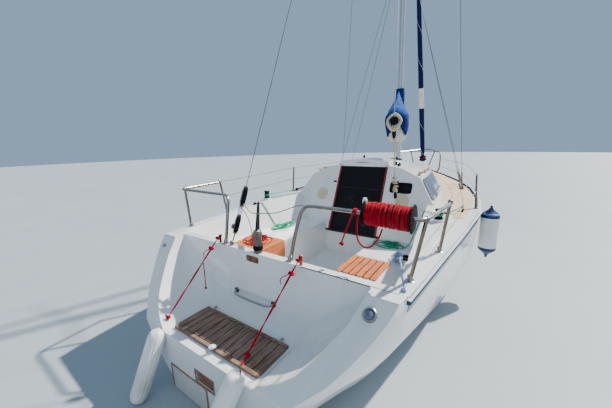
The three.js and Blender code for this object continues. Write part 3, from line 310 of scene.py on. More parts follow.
def fit(name, shape, finish, body="root", replaces="", smooth=35.0, recalc=False, uv=None):
    """A piece from a shape or a list of them, with its finish, that finish's slot and its body."""
    verts, faces = joined(shape) if isinstance(shape, list) else shape
    mesh = bpy.data.meshes.new(name)
    mesh.from_pydata(np.asarray(verts).tolist(), [], [tuple(int(i) for i in f) for f in faces])
    if uv is not None:
        layer = mesh.uv_layers.new(name="UVMap")
        corner = np.zeros(len(mesh.loops), int)
        mesh.loops.foreach_get("vertex_index", corner)
        layer.data.foreach_set("uv", np.asarray(uv)[corner].astype(np.float32).ravel())
    mesh.validate()
    if recalc:
        outward(mesh)
    mesh.polygons.foreach_set("use_smooth", np.ones(len(mesh.polygons), bool))
    mesh.set_sharp_from_angle(angle=radians(smooth))
    thing = bpy.data.objects.new(name, mesh)
    bpy.context.scene.collection.objects.link(thing)
    mesh.materials.append(FINISH[finish])
    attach(thing, body)
    if replaces:
        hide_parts(*replaces.split())
    return thing


def grid_uv(u, v):
    """The u and v of a grid's points, in one row."""
    return np.stack(np.broadcast_arrays(u, v), -1).reshape(-1, 2)


def rope_piece(name, path, radius, finish, sides=12, body="root", replaces=""):
    """A rope's tube, with u round it and v along it in turns of its own girth."""
    path = np.asarray(path, float)
    v = np.pad(lengths(path), 3, mode="edge") / (2 * pi * radius)
    u = np.abs(np.linspace(-1.0, 1.0, sides, endpoint=False))
    return fit(name, tube_shape(path, radius, sides), finish, body, replaces, 60,
               uv=grid_uv(u[None], v[:, None]))


# Finishes


class Coat:
    """One material being made: its nodes, its shader, and the base colour so far."""

    def __init__(self, name, colour, rough, metal=0.0, coat=0.0, coat_rough=0.08, shine=0.5):
        self.material = bpy.data.materials.new(name)
        self.material.use_nodes = True
        self.material.diffuse_color = (*colour, 1.0)
        self.tree = self.material.node_tree
        self.shader = self.tree.nodes["Principled BSDF"]
        for key, value in (("Base Color", colour), ("Roughness", rough), ("Metallic", metal),
                           ("Coat Weight", coat), ("Coat Roughness", coat_rough),
                           ("Specular IOR Level", shine)):
            self.give(self.shader.inputs[key], value)
        self.place = self.node("TexCoord")
        self.base = colour
        self.normal = None

    def give(self, socket, value):
        """Links a socket to an output, or sets its number, vector or colour."""
        if isinstance(value, bpy.types.NodeSocket):
            self.tree.links.new(value, socket)
        else:
            socket.default_value = (*value, 1.0) if socket.type == "RGBA" else value

    def node(self, kind, values=(), **settings):
        """A node with its settings, and what each of its inputs is given."""
        made = self.tree.nodes.new("ShaderNode" + kind)
        for key, value in settings.items():
            setattr(made, key, value)
        for key, value in dict(values).items():
            self.give(made.inputs[key], value)
        return made

    def spot(self, stretch=(1, 1, 1), uv=False):
        """The place of a point on the piece, stretched for a pattern."""
        source = self.place.outputs["UV" if uv else "Object"]
        return self.node("Mapping", {"Vector": source, "Scale": stretch}).outputs["Vector"]

    def noise(self, scale, detail=4.0, rough=0.55, **where):
        """Cloudy noise over the piece, from 0 to 1."""
        return self.node("TexNoise", {"Vector": self.spot(**where), "Scale": scale, "Detail": detail,
                                      "Roughness": rough}).outputs["Fac"]

    def cells(self, scale):
        """How far a point is from the middle of its cell."""
        return self.node("TexVoronoi", {"Vector": self.spot(), "Scale": scale}).outputs["Distance"]

    def threads(self, direction, scale=900.0):
        """Close threads along the cloth's own map."""
        return self.node("TexWave", {"Vector": self.spot(uv=True), "Scale": scale}, wave_type="BANDS",
                         bands_direction=direction, wave_profile="SIN").outputs["Fac"]

    def axis(self, name, **where):
        """One coordinate of the point: X, Y or Z."""
        return self.node("SeparateXYZ", {"Vector": self.spot(**where)}).outputs[name]

    def slope(self):
        """How far the surface faces upwards."""
        normal = self.node("NewGeometry").outputs["Normal"]
        return self.node("SeparateXYZ", {"Vector": normal}).outputs["Z"]

    def maths(self, operation, a, b=0.0):
        """One step of arithmetic on two values."""
        return self.node("Math", {0: a, 1: b}, operation=operation).outputs[0]

    def span(self, value, low, high, to_low=0.0, to_high=1.0):
        """The value mapped from low..high to to_low..to_high and held there."""
        return self.node("MapRange", {"Value": value, "From Min": low, "From Max": high,
                                      "To Min": to_low, "To Max": to_high}, clamp=True).outputs["Result"]

    def patch(self, scale, detail, low, high, least=0.0, most=1.0, rough=0.55, **where):
        """Soft patches: noise mapped from low..high to least..most."""
        return self.span(self.noise(scale, detail, rough, **where), low, high, least, most)

    def blend(self, amount, a, b):
        """Colour a turning to colour b by the amount."""
        return self.node("Mix", {0: amount, 6: a, 7: b}, data_type="RGBA").outputs[2]

    def over(self, amount, colour):
        """Lays a colour over the base by the amount."""
        self.base = self.blend(amount, self.base, colour)
        self.give(self.shader.inputs["Base Color"], self.base)
        return self

    def rough(self, source):
        """Gives the shader its roughness."""
        self.give(self.shader.inputs["Roughness"], source)
        return self

    def bump(self, height, distance, strength=1.0):
        """Raises the surface by the height, one bump after another."""
        made = self.node("Bump", {"Distance": distance, "Strength": strength, "Height": height})
        if self.normal is not None:
            self.give(made.inputs["Normal"], self.normal)
        self.normal = made.outputs["Normal"]
        self.give(self.shader.inputs["Normal"], self.normal)
        return self


def shade(colour, *by, more=0.0):
    """A colour times one number, or times one for each channel, and at most 1."""
    return tuple(min(1.0, v * k + more) for v, k in zip(colour, by * 3))


def gelcoat(name, colour, grime, bottom=None):
    """Moulded gelcoat: faint clouds, thin run-off streaks and specks, a clear gloss, a waterline."""
    c = Coat(name, colour, 0.2, coat=0.5, coat_rough=0.06)
    c.over(c.patch(1.7, 5, 0.35, 0.75, 0.0, 0.5), shade(colour, 0.93, 0.93, 0.9))
    c.over(c.patch(9, 6, 0.55, 0.8, 0.0, grime, stretch=(1, 1, 0.12)), (0.5, 0.47, 0.4))
    c.over(c.patch(60, 3, 0.68, 0.8, 0.0, grime * 0.8), (0.42, 0.4, 0.36))
    if bottom:
        height = c.maths("SUBTRACT", c.axis("Z"), c.maths("MULTIPLY", c.noise(3, 3), 0.012))
        c.over(c.span(height, 0.06, 0.16, 0.35, 0.0), (0.52, 0.53, 0.4))
        c.over(c.span(height, 0.045, 0.047, 1.0, 0.0), (0.05, 0.08, 0.2))
        c.over(c.span(height, -0.012, -0.010, 1.0, 0.0),
               c.blend(c.patch(14, 6, 0.4, 0.7), bottom, (0.1, 0.16, 0.12)))
    c.rough(c.patch(5, 4, 0.3, 0.8, 0.14, 0.34))
    return c.bump(c.noise(2.2, 2), 0.004, 0.25)


def anti_skid(name, colour):
    """Moulded anti-skid: a close raised grain, worn pale and greyed where it is trodden."""
    c = Coat(name, colour, 0.72)
    grain = c.cells(260)
    c.over(c.patch(3.2, 6, 0.38, 0.72, 0.0, 0.55), shade(colour, 0.84))
    c.over(c.span(grain, 0.0, 0.5, 0.22, 0.0), shade(colour, 0.6))
    c.rough(c.patch(20, 4, 0.3, 0.7, 0.6, 0.85))
    return c.bump(c.span(grain, 0.05, 0.45, 1.0, 0.0), 0.0008, 0.8)


def steel(name, colour=(0.5, 0.48, 0.46), rough=0.2):
    """Polished metal: a painted sky reflection on its upward faces and painted shade on those facing down,
    dull patches of salt, a brown tea stain here and there.
    """
    c = Coat(name, colour, rough, metal=1.0)
    salt = c.noise(14, 4)
    # Painted shade: the dark base left on downward faces; painted sky reflection: the brighter colour laid
    # on upward faces.
    c.base = shade(colour, 0.34, 0.27, 0.21)
    c.over(c.span(c.slope(), 0.0, 0.9), shade(colour, 1.4))
    c.over(c.span(salt, 0.45, 0.75, 0.0, 0.25), (0.5, 0.5, 0.49))
    c.over(c.patch(9, 5, 0.55, 0.8, 0.0, 0.6), (0.26, 0.15, 0.08))
    return c.rough(c.span(salt, 0.3, 0.75, rough, rough + 0.12))


def alloy(name, colour):
    """Anodised aluminium: drawn lines along the spar, chalky patches."""
    c = Coat(name, colour, 0.42, metal=0.7)
    chalk = c.patch(6, 6, 0.35, 0.75, 0.0, 0.45, stretch=(1, 1, 0.25))
    c.over(chalk, shade(colour, 1.25))
    c.over(c.patch(45, 3, 0.64, 0.78, 0.0, 0.3), (0.25, 0.25, 0.26))
    c.rough(c.span(chalk, 0.0, 0.45, 0.34, 0.6))
    return c.bump(c.noise(300, 2, stretch=(1, 1, 0.02)), 0.0003, 0.4)


def plastic(name, colour, rough, wear=0.25, shine=0.3):
    """Moulded plastic: a fine grain, edges and tops bleached by the sun."""
    c = Coat(name, colour, rough, shine=shine)
    up = c.span(c.slope(), -0.2, 1.0, 0.0, wear)
    c.over(c.maths("MULTIPLY", up, c.patch(24, 5, 0.3, 0.7)), shade(colour, 1.2, more=0.03))
    c.rough(c.patch(40, 4, 0.3, 0.7, rough - 0.08, rough + 0.14))
    return c.bump(c.noise(600, 2), 0.0002, 0.5)


def painted(name, colour):
    """Satin paint on a board: brush lines, rubbed through to grey in places."""
    c = Coat(name, colour, 0.42, shine=0.22)
    c.over(c.patch(7, 7, 0.62, 0.75, 0.0, 0.14), (0.14, 0.13, 0.12))
    c.rough(c.patch(16, 5, 0.3, 0.7, 0.35, 0.6))
    return c.bump(c.noise(40, 3, stretch=(1, 0.08, 1)), 0.0006, 0.4)


def wood(name, pale, dark, rough, gloss=0.0, direction="X", grey=0.0):
    """Wood: long rings drawn out along the board, fine pores, silvered where it weathers."""
    c = Coat(name, pale, rough, coat=gloss, coat_rough=0.1)
    grain, fine = (tuple(thin if axis == direction else 1 for axis in "XYZ") for thin in (0.16, 0.05))
    warp = c.maths("MULTIPLY", c.noise(9, 6, 0.6, stretch=grain), 46.0)
    rings = c.maths("SINE", c.maths("ADD", warp, c.maths("MULTIPLY", c.axis("Y"), 60.0)))
    ring = c.span(rings, -1.0, 1.0, 0.0, 0.75)
    pores = c.patch(190, 3, 0.5, 0.66, 0.0, 0.6, stretch=fine)
    silver = tuple(0.5 * v + 0.5 * g for v, g in zip(pale, (0.34, 0.31, 0.28)))
    c.over(ring, dark).over(pores, shade(dark, 0.45))
    c.over(c.patch(5, 6, 0.35, 0.7, 0.0, 0.35 + grey), silver if grey else shade(pale, 0.8))
    c.rough(c.span(pores, 0.0, 0.6, rough, rough + 0.25))
    return c.bump(pores, 0.0006, -0.5).bump(ring, 0.0004, 0.4)


def canvas(name, colour, sunlit):
    """Woven acrylic canvas: warp over weft, a painted sunlit colour on its upward faces, darker in soft
    patches, and painted shade in the weave's hollows.
    """
    c = Coat(name, colour, 0.92, shine=0.15)
    weave = c.maths("MULTIPLY", c.threads("X"), c.threads("Y"))
    # Painted sunlight: the sunlit colour laid on upward faces, in patches.
    c.over(c.maths("MULTIPLY", c.span(c.slope(), 0.1, 1.0), c.patch(7, 5, 0.2, 0.7, 0.35, 1.0)), sunlit)
    c.over(c.patch(16, 6, 0.5, 0.8, 0.0, 0.35), shade(colour, 0.6))
    # Painted shade in the hollows between the threads, where the bump sinks.
    c.over(c.span(weave, 0.0, 0.6, 0.18, 0.0), shade(colour, 0.45))
    return c.bump(weave, 0.0004, 0.6).bump(c.noise(26, 5), 0.004, 0.4)


def rope_cover(name, colour, fleck, share=0.3):
    """Braided cover: strands crossing at a slant with painted shade in the grooves between them, flecks of
    a second yarn and a fine fuzz.
    """
    c = Coat(name, colour, 0.88, shine=0.15)
    u, slant = c.axis("X", uv=True), c.maths("MULTIPLY", c.axis("Y", uv=True), 1.1)
    right, left = (c.maths("SINE", c.maths("MULTIPLY", c.maths(way, u, slant), 10 * pi))
                   for way in ("ADD", "SUBTRACT"))
    strand = c.maths("MAXIMUM", right, left)
    flecks = c.span(c.maths("MULTIPLY", right, left), 0.35, 0.6)
    spread = c.patch(1.3, 2, 0.5 - 0.3 * share, 0.62, uv=True, stretch=(2, 1, 1))
    c.over(c.maths("MULTIPLY", flecks, spread), fleck)
    # Painted shade in the grooves between the strands, where the bump sinks.
    c.over(c.span(strand, -0.2, 0.6, 0.5, 0.0), shade(colour, 0.35))
    c.over(c.patch(30, 5, 0.5, 0.8, 0.0, 0.1), (0.4, 0.37, 0.33))
    return c.bump(strand, 0.0008, 0.8)


def rubber(name, colour, top=None):
    """A rubber and vinyl strip: chalky, with scuffs along it; given a top colour, upward faces take it, and
    on the rub strip the dark base left below is painted shade.
    """
    c = Coat(name, colour, 0.6, shine=0.25)
    # Upward faces take the top colour; on the rub strip the dark base left on the sides and underside is
    # painted shade.
    c.over(c.span(c.slope(), 0.35, 0.6), top or colour)
    c.over(c.patch(20, 6, 0.5, 0.75, 0.0, 0.5, stretch=(0.15, 1, 1)), shade(colour, 1.4, more=0.015))
    c.rough(c.patch(34, 4, 0.3, 0.7, 0.5, 0.8))
    return c.bump(c.noise(50, 5), 0.0008, 0.4)


def vinyl(name, colour, dirty=0.45):
    """Blown vinyl: soft gloss, grey rub marks and a darker stain towards the water."""
    c = Coat(name, colour, 0.36)
    rub = c.patch(12, 6, 0.48, 0.75, 0.0, dirty, stretch=(1, 1, 0.35))
    damp = c.maths("MULTIPLY", c.span(c.axis("Z"), 0.02, 0.3, 0.7, 0.0), c.patch(9, 5, 0.3, 0.6))
    c.over(rub, (0.4, 0.39, 0.35)).over(damp, (0.34, 0.33, 0.24))
    c.rough(c.span(rub, 0.0, dirty, 0.3, 0.6))
    return c.bump(c.noise(30, 5), 0.002, 0.3)


def glazing(name, colour):
    """Tinted acrylic: dark and smooth, with dried spray on it."""
    c = Coat(name, colour, 0.08, coat=0.4)
    spray = c.patch(70, 4, 0.6, 0.75, 0.0, 0.3)
    c.over(spray, (0.5, 0.52, 0.52)).rough(c.span(spray, 0.0, 0.3, 0.05, 0.4))
    return c.bump(c.noise(3, 2), 0.002, 0.15)


def rusted(name, colour):
    """Rusting metal: grey scale breaking into orange and brown crust, pitted."""
    c = Coat(name, colour, 0.5, metal=0.6)
    crust = c.patch(34, 8, 0.41, 0.545, rough=0.7)
    c.over(crust, c.blend(c.patch(90, 5, 0.35, 0.65), (0.52, 0.2, 0.04), (0.2, 0.075, 0.03)))
    c.rough(c.span(crust, 0.0, 1.0, 0.4, 0.95))
    c.give(c.shader.inputs["Metallic"], c.span(crust, 0.0, 1.0, 0.7, 0.0))
    return c.bump(c.noise(140, 6), 0.0015, 0.7)


def antifouling(name, colour):
    """Dull bottom paint over iron: brush marks, weed and small barnacle bumps."""
    c = Coat(name, colour, 0.8)
    c.over(c.patch(6, 8, 0.42, 0.72, 0.0, 0.7), (0.09, 0.13, 0.08))
    return c.bump(c.span(c.cells(40), 0.0, 0.12, 1.0, 0.0), 0.003, 0.4).bump(c.noise(30, 5), 0.002, 0.5)


def make_finishes():
    """Every finish of the yacht, by its plain name."""
    tone = bpy.context.scene.yacht_colours
    white, navy, sunlit = tuple(tone.gelcoat), tuple(tone.canvas), tuple(tone.sunlit_canvas)
    coats = {
        "hull": gelcoat("hull_gelcoat", white, 0.16, bottom=(0.04, 0.07, 0.16)),
        "gelcoat": gelcoat("moulded_gelcoat", white, 0.2),
        "stained": gelcoat("stained_lid", (0.62, 0.6, 0.56), 0.6),
        "stripe": gelcoat("navy_stripe", (0.015, 0.045, 0.09), 0.1),
        "anti_skid": anti_skid("moulded_anti_skid", tuple(tone.anti_skid)),
        "steel": steel("polished_tube"),
        "wire": steel("rigging_wire", (0.34, 0.34, 0.35), 0.3),
        "dull_steel": steel("worn_fitting_steel", (0.42, 0.42, 0.43), 0.34),
        "bronze": steel("worn_bronze", (0.42, 0.25, 0.12), 0.4),
        "rust": rusted("rusting_frame", (0.3, 0.3, 0.3)),
        "alloy": alloy("anodised_spar", (0.46, 0.47, 0.5)),
        "black": plastic("black_moulding", (0.004, 0.004, 0.005), 0.68, 0.06, 0.12),
        "white_moulding": plastic("white_moulding", (0.82, 0.82, 0.79), 0.35, 0.1),
        "cream_moulding": plastic("cream_moulding", (0.62, 0.55, 0.37), 0.5, 0.1),
        "blue_moulding": plastic("blue_moulding", (0.05, 0.2, 0.45), 0.4),
        "board": painted("painted_board", (0.004, 0.003, 0.0045)),
        "teak": wood("oiled_teak", (0.7, 0.2, 0.05), (0.42, 0.1, 0.022), 0.6),
        "weathered": wood("weathered_board", (0.31, 0.17, 0.11), (0.11, 0.06, 0.042), 0.75, grey=0.05),
        "varnish": wood("varnished_frame", (0.33, 0.012, 0.016), (0.14, 0.006, 0.008), 0.35, 0.5, "Z"),
        "rail_wood": wood("handrail_wood", (0.6, 0.45, 0.29), (0.34, 0.22, 0.13), 0.7, grey=0.2),
        # The second colour of each canvas is its painted sunlit colour for upward faces.
        "canvas": canvas("navy_canvas", navy, sunlit),
        "jib_canvas": canvas("rolled_edge_canvas", (0.006, 0.009, 0.06), (0.014, 0.03, 0.16)),
        "sailcloth": canvas("sailcloth", (0.74, 0.72, 0.66), (0.84, 0.83, 0.79)),
        "glazing": glazing("tinted_pane", (0.1, 0.13, 0.2)),
        "bottom": antifouling("bottom_paint", (0.045, 0.075, 0.17)),
        # The rub strip's dark navy base is painted shade under its light top.
        "rub_strip": rubber("rub_strip", (0.02, 0.055, 0.1), (0.55, 0.57, 0.6)),
        "gasket": rubber("dark_gasket", (0.014, 0.014, 0.016)),
        "fender": vinyl("fender_vinyl", (0.84, 0.84, 0.82)),
        "fender_end": vinyl("fender_end_vinyl", (0.008, 0.012, 0.09), 0.1),
        "red_rope": rope_cover("red_rope", tuple(tone.red_rope), (0.7, 0.03, 0.08), 0.1),
        "green_rope": rope_cover("green_rope", tuple(tone.green_rope), (0.12, 0.75, 0.45), 0.4),
        "blue_rope": rope_cover("blue_rope", (0.4, 0.52, 0.8), (0.02, 0.06, 0.4), 0.6),
        "grey_rope": rope_cover("grey_rope", (0.3, 0.28, 0.25), (0.03, 0.03, 0.04), 0.5),
        "strop": rope_cover("cream_strop", (0.7, 0.6, 0.42), (0.5, 0.005, 0.02), 1.0),
        "white_rope": rope_cover("white_rope", (0.7, 0.7, 0.68), (0.1, 0.2, 0.5)),
    }
    return {name: coat.material for name, coat in coats.items()}


# Settings


def colour_setting(name, description, default):
    """A colour that an owner would change."""
    return bpy.props.FloatVectorProperty(name=name, description=description, subtype="COLOR", size=3,
                                         min=0, max=1, default=default)


def angle_setting(name, description, degrees):
    """An angle of the camera."""
    return bpy.props.FloatProperty(name=name, description=description, subtype="ANGLE",
                                   unit="ROTATION", default=radians(degrees))


class YACHT_PG_colours(bpy.types.PropertyGroup):
    """Colours that an owner would choose."""
    gelcoat: colour_setting("Gelcoat", "Hull, deck mouldings and coachroof", (0.82, 0.83, 0.82))
    anti_skid: colour_setting("Anti-skid", "Grained panels that are walked on", (0.66, 0.47, 0.31))
    canvas: colour_setting("Canvas", "Sail cover and mast boot", (0.002, 0.018, 0.13))
    # The sunlit canvas colour is painted sunlight on the canvas's upward faces.
    sunlit_canvas: colour_setting("Sunlit canvas", "The canvas where the sun has bleached it",
                                 (0.001, 0.1, 0.5))
    red_rope: colour_setting("Red rope", "Tackle tail, stern line and lashings", (0.5, 0.0, 0.018))
    green_rope: colour_setting("Green rope", "Jib sheets", (0.0, 0.4, 0.2))


class YACHT_PG_sizes(bpy.types.PropertyGroup):
    """Sizes that an owner would choose."""
    sheet_girth: bpy.props.FloatProperty(
        name="Sheet", description="Diameter of the jib sheets", default=2 * SHEET_RADIUS,
        min=0.006, max=0.012, subtype="DISTANCE", unit="LENGTH")
    coil_turns: bpy.props.IntProperty(
        name="Turns", description="Turns in each layer of a coiled sheet", default=3, min=2, max=4)
    floor_size: bpy.props.FloatProperty(
        name="Floor", description="Width of the plain floor", default=80.0, min=20.0,
        subtype="DISTANCE", unit="LENGTH")


class YACHT_PG_view(bpy.types.PropertyGroup):
    """Where the camera stands, and how it looks at the stern."""
    place: bpy.props.FloatVectorProperty(
        name="Place", description="Camera position", subtype="TRANSLATION", size=3,
        default=(-1.38592, -1.43458, 1.78470))
    heading: angle_setting("Heading", "Turn from +X towards +Y", 34.7182)
    dip: angle_setting("Dip", "How far the view points down", 12.6819)
    tilt: angle_setting("Tilt", "Roll about the line of sight", -1.4283)
    lens: bpy.props.FloatProperty(
        name="Lens", description="Focal length on a 36 mm wide sensor", default=16.2875,
        min=8.0, max=80.0, subtype="DISTANCE_CAMERA", unit="CAMERA")


# Ropes

PORT_TAIL = points(
    (1052, 1012, 1045.6), (1060, 985, 1048), (1070, 962, 1050.6), (1078, 946, 1051.6),
    (1084, 934, 1044), (1090, 922, 1024), (1096, 908, 998), (1102, 892, 968), (1108, 874, 935),
    (1114, 856, 902), (1120, 838, 869), (1126, 820, 837), (1132, 802, 808), (1138, 788, 788),
    (1148, 775, 777))
STARBOARD_TAIL = points(
    (1480, -955, 1069), (1488, -928, 1072), (1494, -906, 1073), (1498, -886, 1074),
    (1503, -874, 1066), (1508, -867, 1042), (1512, -856, 1008), (1518, -842, 968),
    (1524, -826, 925), (1530, -811, 880), (1536, -795, 835), (1542, -779, 790), (1548, -763, 745),
    (1554, -748, 702), (1560, -732, 666), (1568, -716, 649))
TACKLE_TAIL = points(
    (180, 318, 1262), (200, 340, 1245), (228, 358, 1222), (258, 374, 1196), (288, 388, 1166),
    (316, 402, 1132), (342, 416, 1096), (366, 430, 1060), (386, 443, 1022), (404, 456, 984),
    (420, 468, 945), (434, 479, 906), (447, 489, 868), (460, 498, 832), (474, 508, 800),
    (489, 519, 783), (502, 529, 778.6), (512, 538, 777.8), (517, 550, 777.4))
REEL_TAIL_FALL = points(
    (158, -910, 1266), (158, -902, 1238), (158, -886, 1200), (158, -866, 1168),
    (158, -840, 1142), (158, -812, 1130), (158, -786, 1136), (158, -764, 1158), (158, -751, 1190),
    (159, -747, 1230), (162, -746, 1272), (170, -746, 1312))
REEL_TAIL_END = points((146, -716, 1322), (152, -698, 1280), (156, -674, 1222), (158, -655, 1172),
                       (158, -643, 1135))
STERN_LINE = points(
    (1155, -732, 625.2), (1125, -752, 636), (1070, -778, 676), (1000, -804, 722),
    (920, -832, 762), (830, -862, 806), (740, -886, 850), (650, -908, 894), (560, -926, 938),
    (480, -940, 972), (420, -952, 990), (360, -972, 995), (300, -996, 990), (255, -1013, 985.5),
    (215, -1028, 981.5), (150, -1052, 977.8), (95, -1074, 976.4), (50, -1086, 975))
SLACK_LINE = points(
    (155, 265, 1296), (146, 228, 1280), (128, 190, 1268), (112, 150, 1258), (102, 112, 1252),
    (99, 75, 1251), (99, 38, 1255), (100, 4, 1260), (101, -40, 1266), (102, -84, 1272),
    (104, -127, 1280), (108, -172, 1294), (114, -216, 1311), (121, -260, 1330), (127, -304, 1346),
    (132, -342, 1353), (135, -368.6, 1353))
LASHING_TAIL = points(
    (-148, 452, 846.8), (-148, 451, 836), (-148, 450, 815), (-149, 449, 790), (-149, 449, 762),
    (-149, 449, 734), (-149, 449, 706), (-150, 449, 678), (-150, 450, 652), (-150, 452, 630))


def heap(centre, half, turns, start, way, seed):
    """The knots of a rope let fall in a heap, flat on the ground.

    Loops p = c + h (s (cos a, sin a) + w): their size s and their middle w wander as sines of a.
    """
    t = np.arange(0.0, turns, 1 / 13)
    a = start + way * 2 * pi * t
    size = 0.58 + 0.26 * np.sin(2.3 * t + seed) + 0.08 * np.sin(5.9 * t)
    wander = 0.3 * np.stack([np.sin(1.25 * t + 2 * seed), np.cos(1.7 * t + seed)], 1)
    flat = size[:, None] * np.stack([np.cos(a), np.sin(a)], 1) + wander
    return np.column_stack([np.array(centre[:2]) + np.array(half) * flat, np.full(len(t), centre[2])])


def piled(tail, knots, radius, step):
    """The tail and its heap as one path: where it crosses itself the part nearer the tail lies on top.

    Each point is lifted by sqrt(d^2 - gap^2) over what it crosses, in a few passes over all pairs,
    and each lift is spread along the rope as a long low hump.
    """
    path = spline(np.concatenate([tail, knots]), step)
    ground = knots[0, 2] + radius
    gap = np.linalg.norm(path[:, None, :2] - path[None, :, :2], axis=2)
    order = np.arange(len(path))
    reach = 2.04 * radius
    over = (gap < reach) & (order[None] - order[:, None] > 5 * radius / step)
    lift = np.sqrt(np.maximum(reach ** 2 - gap ** 2, 0))
    height = np.full(len(path), ground)
    spread = int(round(3.2 * radius / step))
    window = np.ones(2 * spread + 1) / (2 * spread + 1)
    for _ in range(9):
        need = np.where(over, height[None] + lift, ground).max(1)
        edge = np.pad(need, 2 * spread, mode="edge")
        widest = np.lib.stride_tricks.sliding_window_view(edge, 2 * spread + 1).max(1)
        height = np.maximum(height, np.convolve(widest, window, "valid"))
    path[:, 2] = np.maximum(path[:, 2], height)
    return path


def lay_rope(name, nodes, path, radius, finish, knot=None):
    """A free rope along its path, with the knot that ends it."""
    rope = rope_piece(name, path, radius, finish, replaces=nodes)
    if knot is not None:
        shape = knot_shape(path[-1] + knot, 2.6 * radius, path[-1] - path[-2])
        fit(name + "_knot", shape, finish, recalc=True)


class YACHT_OT_lay_ropes(bpy.types.Operator):
    """Lay the free ropes: sheet tails in their piles, the reel's tail, the mooring line, slack lines"""
    bl_idname = "yacht.lay_ropes"
    bl_label = "Free ropes"

    def execute(self, context):
        sizes = context.scene.yacht_sizes
        girth, turns = sizes.sheet_girth / 2, 2 * sizes.coil_turns
        for name, nodes, tail, pile, radius, step, finish in (
                ("sheet_tail_port_rope", "sheet_tail_port sheet_tail_port_coil", PORT_TAIL,
                 ((1.170, 0.700, SEAT_PORT_Z + 0.0003), (0.185, 0.088), turns, radians(100), -1, 0.4),
                 girth, 0.007, "green_rope"),
                ("sheet_tail_starboard_rope", "sheet_tail_starboard sheet_tail_starboard_coil",
                 STARBOARD_TAIL, ((1.560, -0.535, SEAT_STARBOARD_Z + 0.0003), (0.098, 0.168), turns,
                                  radians(-80), 1, 1.9), girth, 0.007, "green_rope"),
                ("tackle_tail_rope", "tackle_tail tackle_tail_pile", TACKLE_TAIL,
                 ((0.610, 0.602, 0.7743), (0.158, 0.150), 8, radians(120), -1, 3.1), LINE_RADIUS,
                 0.006, "red_rope")):
            path = piled(tail, heap(*pile), radius, step)
            lay_rope(name, nodes, path, radius, finish, (0, 0, 0))
        turn = np.arange(13)
        wrap = circle(xyz(0.158, -0.745 + 0.0015 * turn, RAIL_Z), 0.0188, turn * pi / 4, X, Z)
        reel_tail = np.concatenate([REEL_TAIL_FALL, wrap, REEL_TAIL_END])
        for name, node, knots, radius, step, finish, far_end, lay, knot in (
                ("reel_tail_rope", "reel_tail", reel_tail, SHEET_RADIUS, 0.006, "red_rope", "knot",
                 "hanging", (0, 0.003, -0.011)),
                ("stern_line_rope", "stern_line", STERN_LINE, SHEET_RADIUS, 0.008, "blue_rope", "knot",
                 "loose", (-0.012, 0.004, 0.006)),
                ("slack_line_rope", "slack_line", SLACK_LINE, LINE_RADIUS, 0.008, "grey_rope",
                 "object", "loose", None),
                ("lashing_tail_rope", "lashing_tail_port", LASHING_TAIL, LINE_RADIUS, 0.006,
                 "red_rope", "knot", "hanging", (0, 0, -0.007))):
            lay_rope(name, node, spline(knots, step), radius, finish, knot)
        return {"FINISHED"}


# Stage


def camera_turn(heading, dip, tilt):
    """The camera's axes as columns: right and up, turned by the roll, and back along the sight."""
    sight = np.array((cos(heading) * cos(dip), sin(heading) * cos(dip), -sin(dip)))
    right = np.array((sin(heading), -cos(heading), 0.0))
    above = np.cross(right, sight)
    return np.column_stack([cos(tilt) * right + sin(tilt) * above,
                            cos(tilt) * above - sin(tilt) * right, -sight])


def stand(name, data, place=(0, 0, 0), axes=np.eye(3)):
    """Puts a camera, a light or the floor at its place, turned to its axes."""
    thing = bpy.data.objects.new(name, data)
    bpy.context.scene.collection.objects.link(thing)
    thing.matrix_world = Matrix.Translation(place) @ Matrix(axes.tolist()).to_4x4()
    return thing


class YACHT_OT_set_stage(bpy.types.Operator):
    """Set the camera over the starboard quarter, a plain pale floor at the waterline and soft light"""
    bl_idname = "yacht.set_stage"
    bl_label = "Stage"

    def execute(self, context):
        scene = context.scene
        view = scene.yacht_view
        camera = bpy.data.cameras.new("quarter_view")
        camera.sensor_width, camera.lens = 36.0, view.lens
        camera.clip_start, camera.clip_end = 0.05, 400.0
        scene.camera = stand("quarter_view", camera, view.place,
                             camera_turn(view.heading, view.dip, view.tilt))
        rim = circle(0.0, scene.yacht_sizes.floor_size / 2, around(96))
        mesh = bpy.data.meshes.new("floor")
        mesh.from_pydata(rim.tolist(), [], [tuple(range(len(rim)))])
        coat = Coat("pale_floor", (0.34, 0.39, 0.42), 0.6)
        coat.over(coat.patch(0.6, 3, 0.3, 0.7), (0.37, 0.42, 0.45))
        mesh.materials.append(coat.material)
        stand("floor", mesh)
        world = bpy.data.worlds.new("soft_sky")
        world.use_nodes = True
        sky = world.node_tree.nodes["Background"]
        sky.inputs["Color"].default_value = (0.5, 0.72, 1.0, 1.0)
        sky.inputs["Strength"].default_value = 0.56
        scene.world = world
        for name, towards, power, spread, tone in (
                ("key_light", (0.62, -0.33, 0.71), 8.6, 0.025, (1.0, 0.965, 0.9)),
                ("fill_light", (-0.7, -0.5, 0.5), 0.5, 1.2, (0.85, 0.92, 1.0))):
            lamp = bpy.data.lights.new(name, "SUN")
            lamp.energy, lamp.angle, lamp.color = power, spread, tone
            stand(name, lamp, axes=square(towards, Z).T)
        return {"FINISHED"}


# Finishes on the frame's own solids

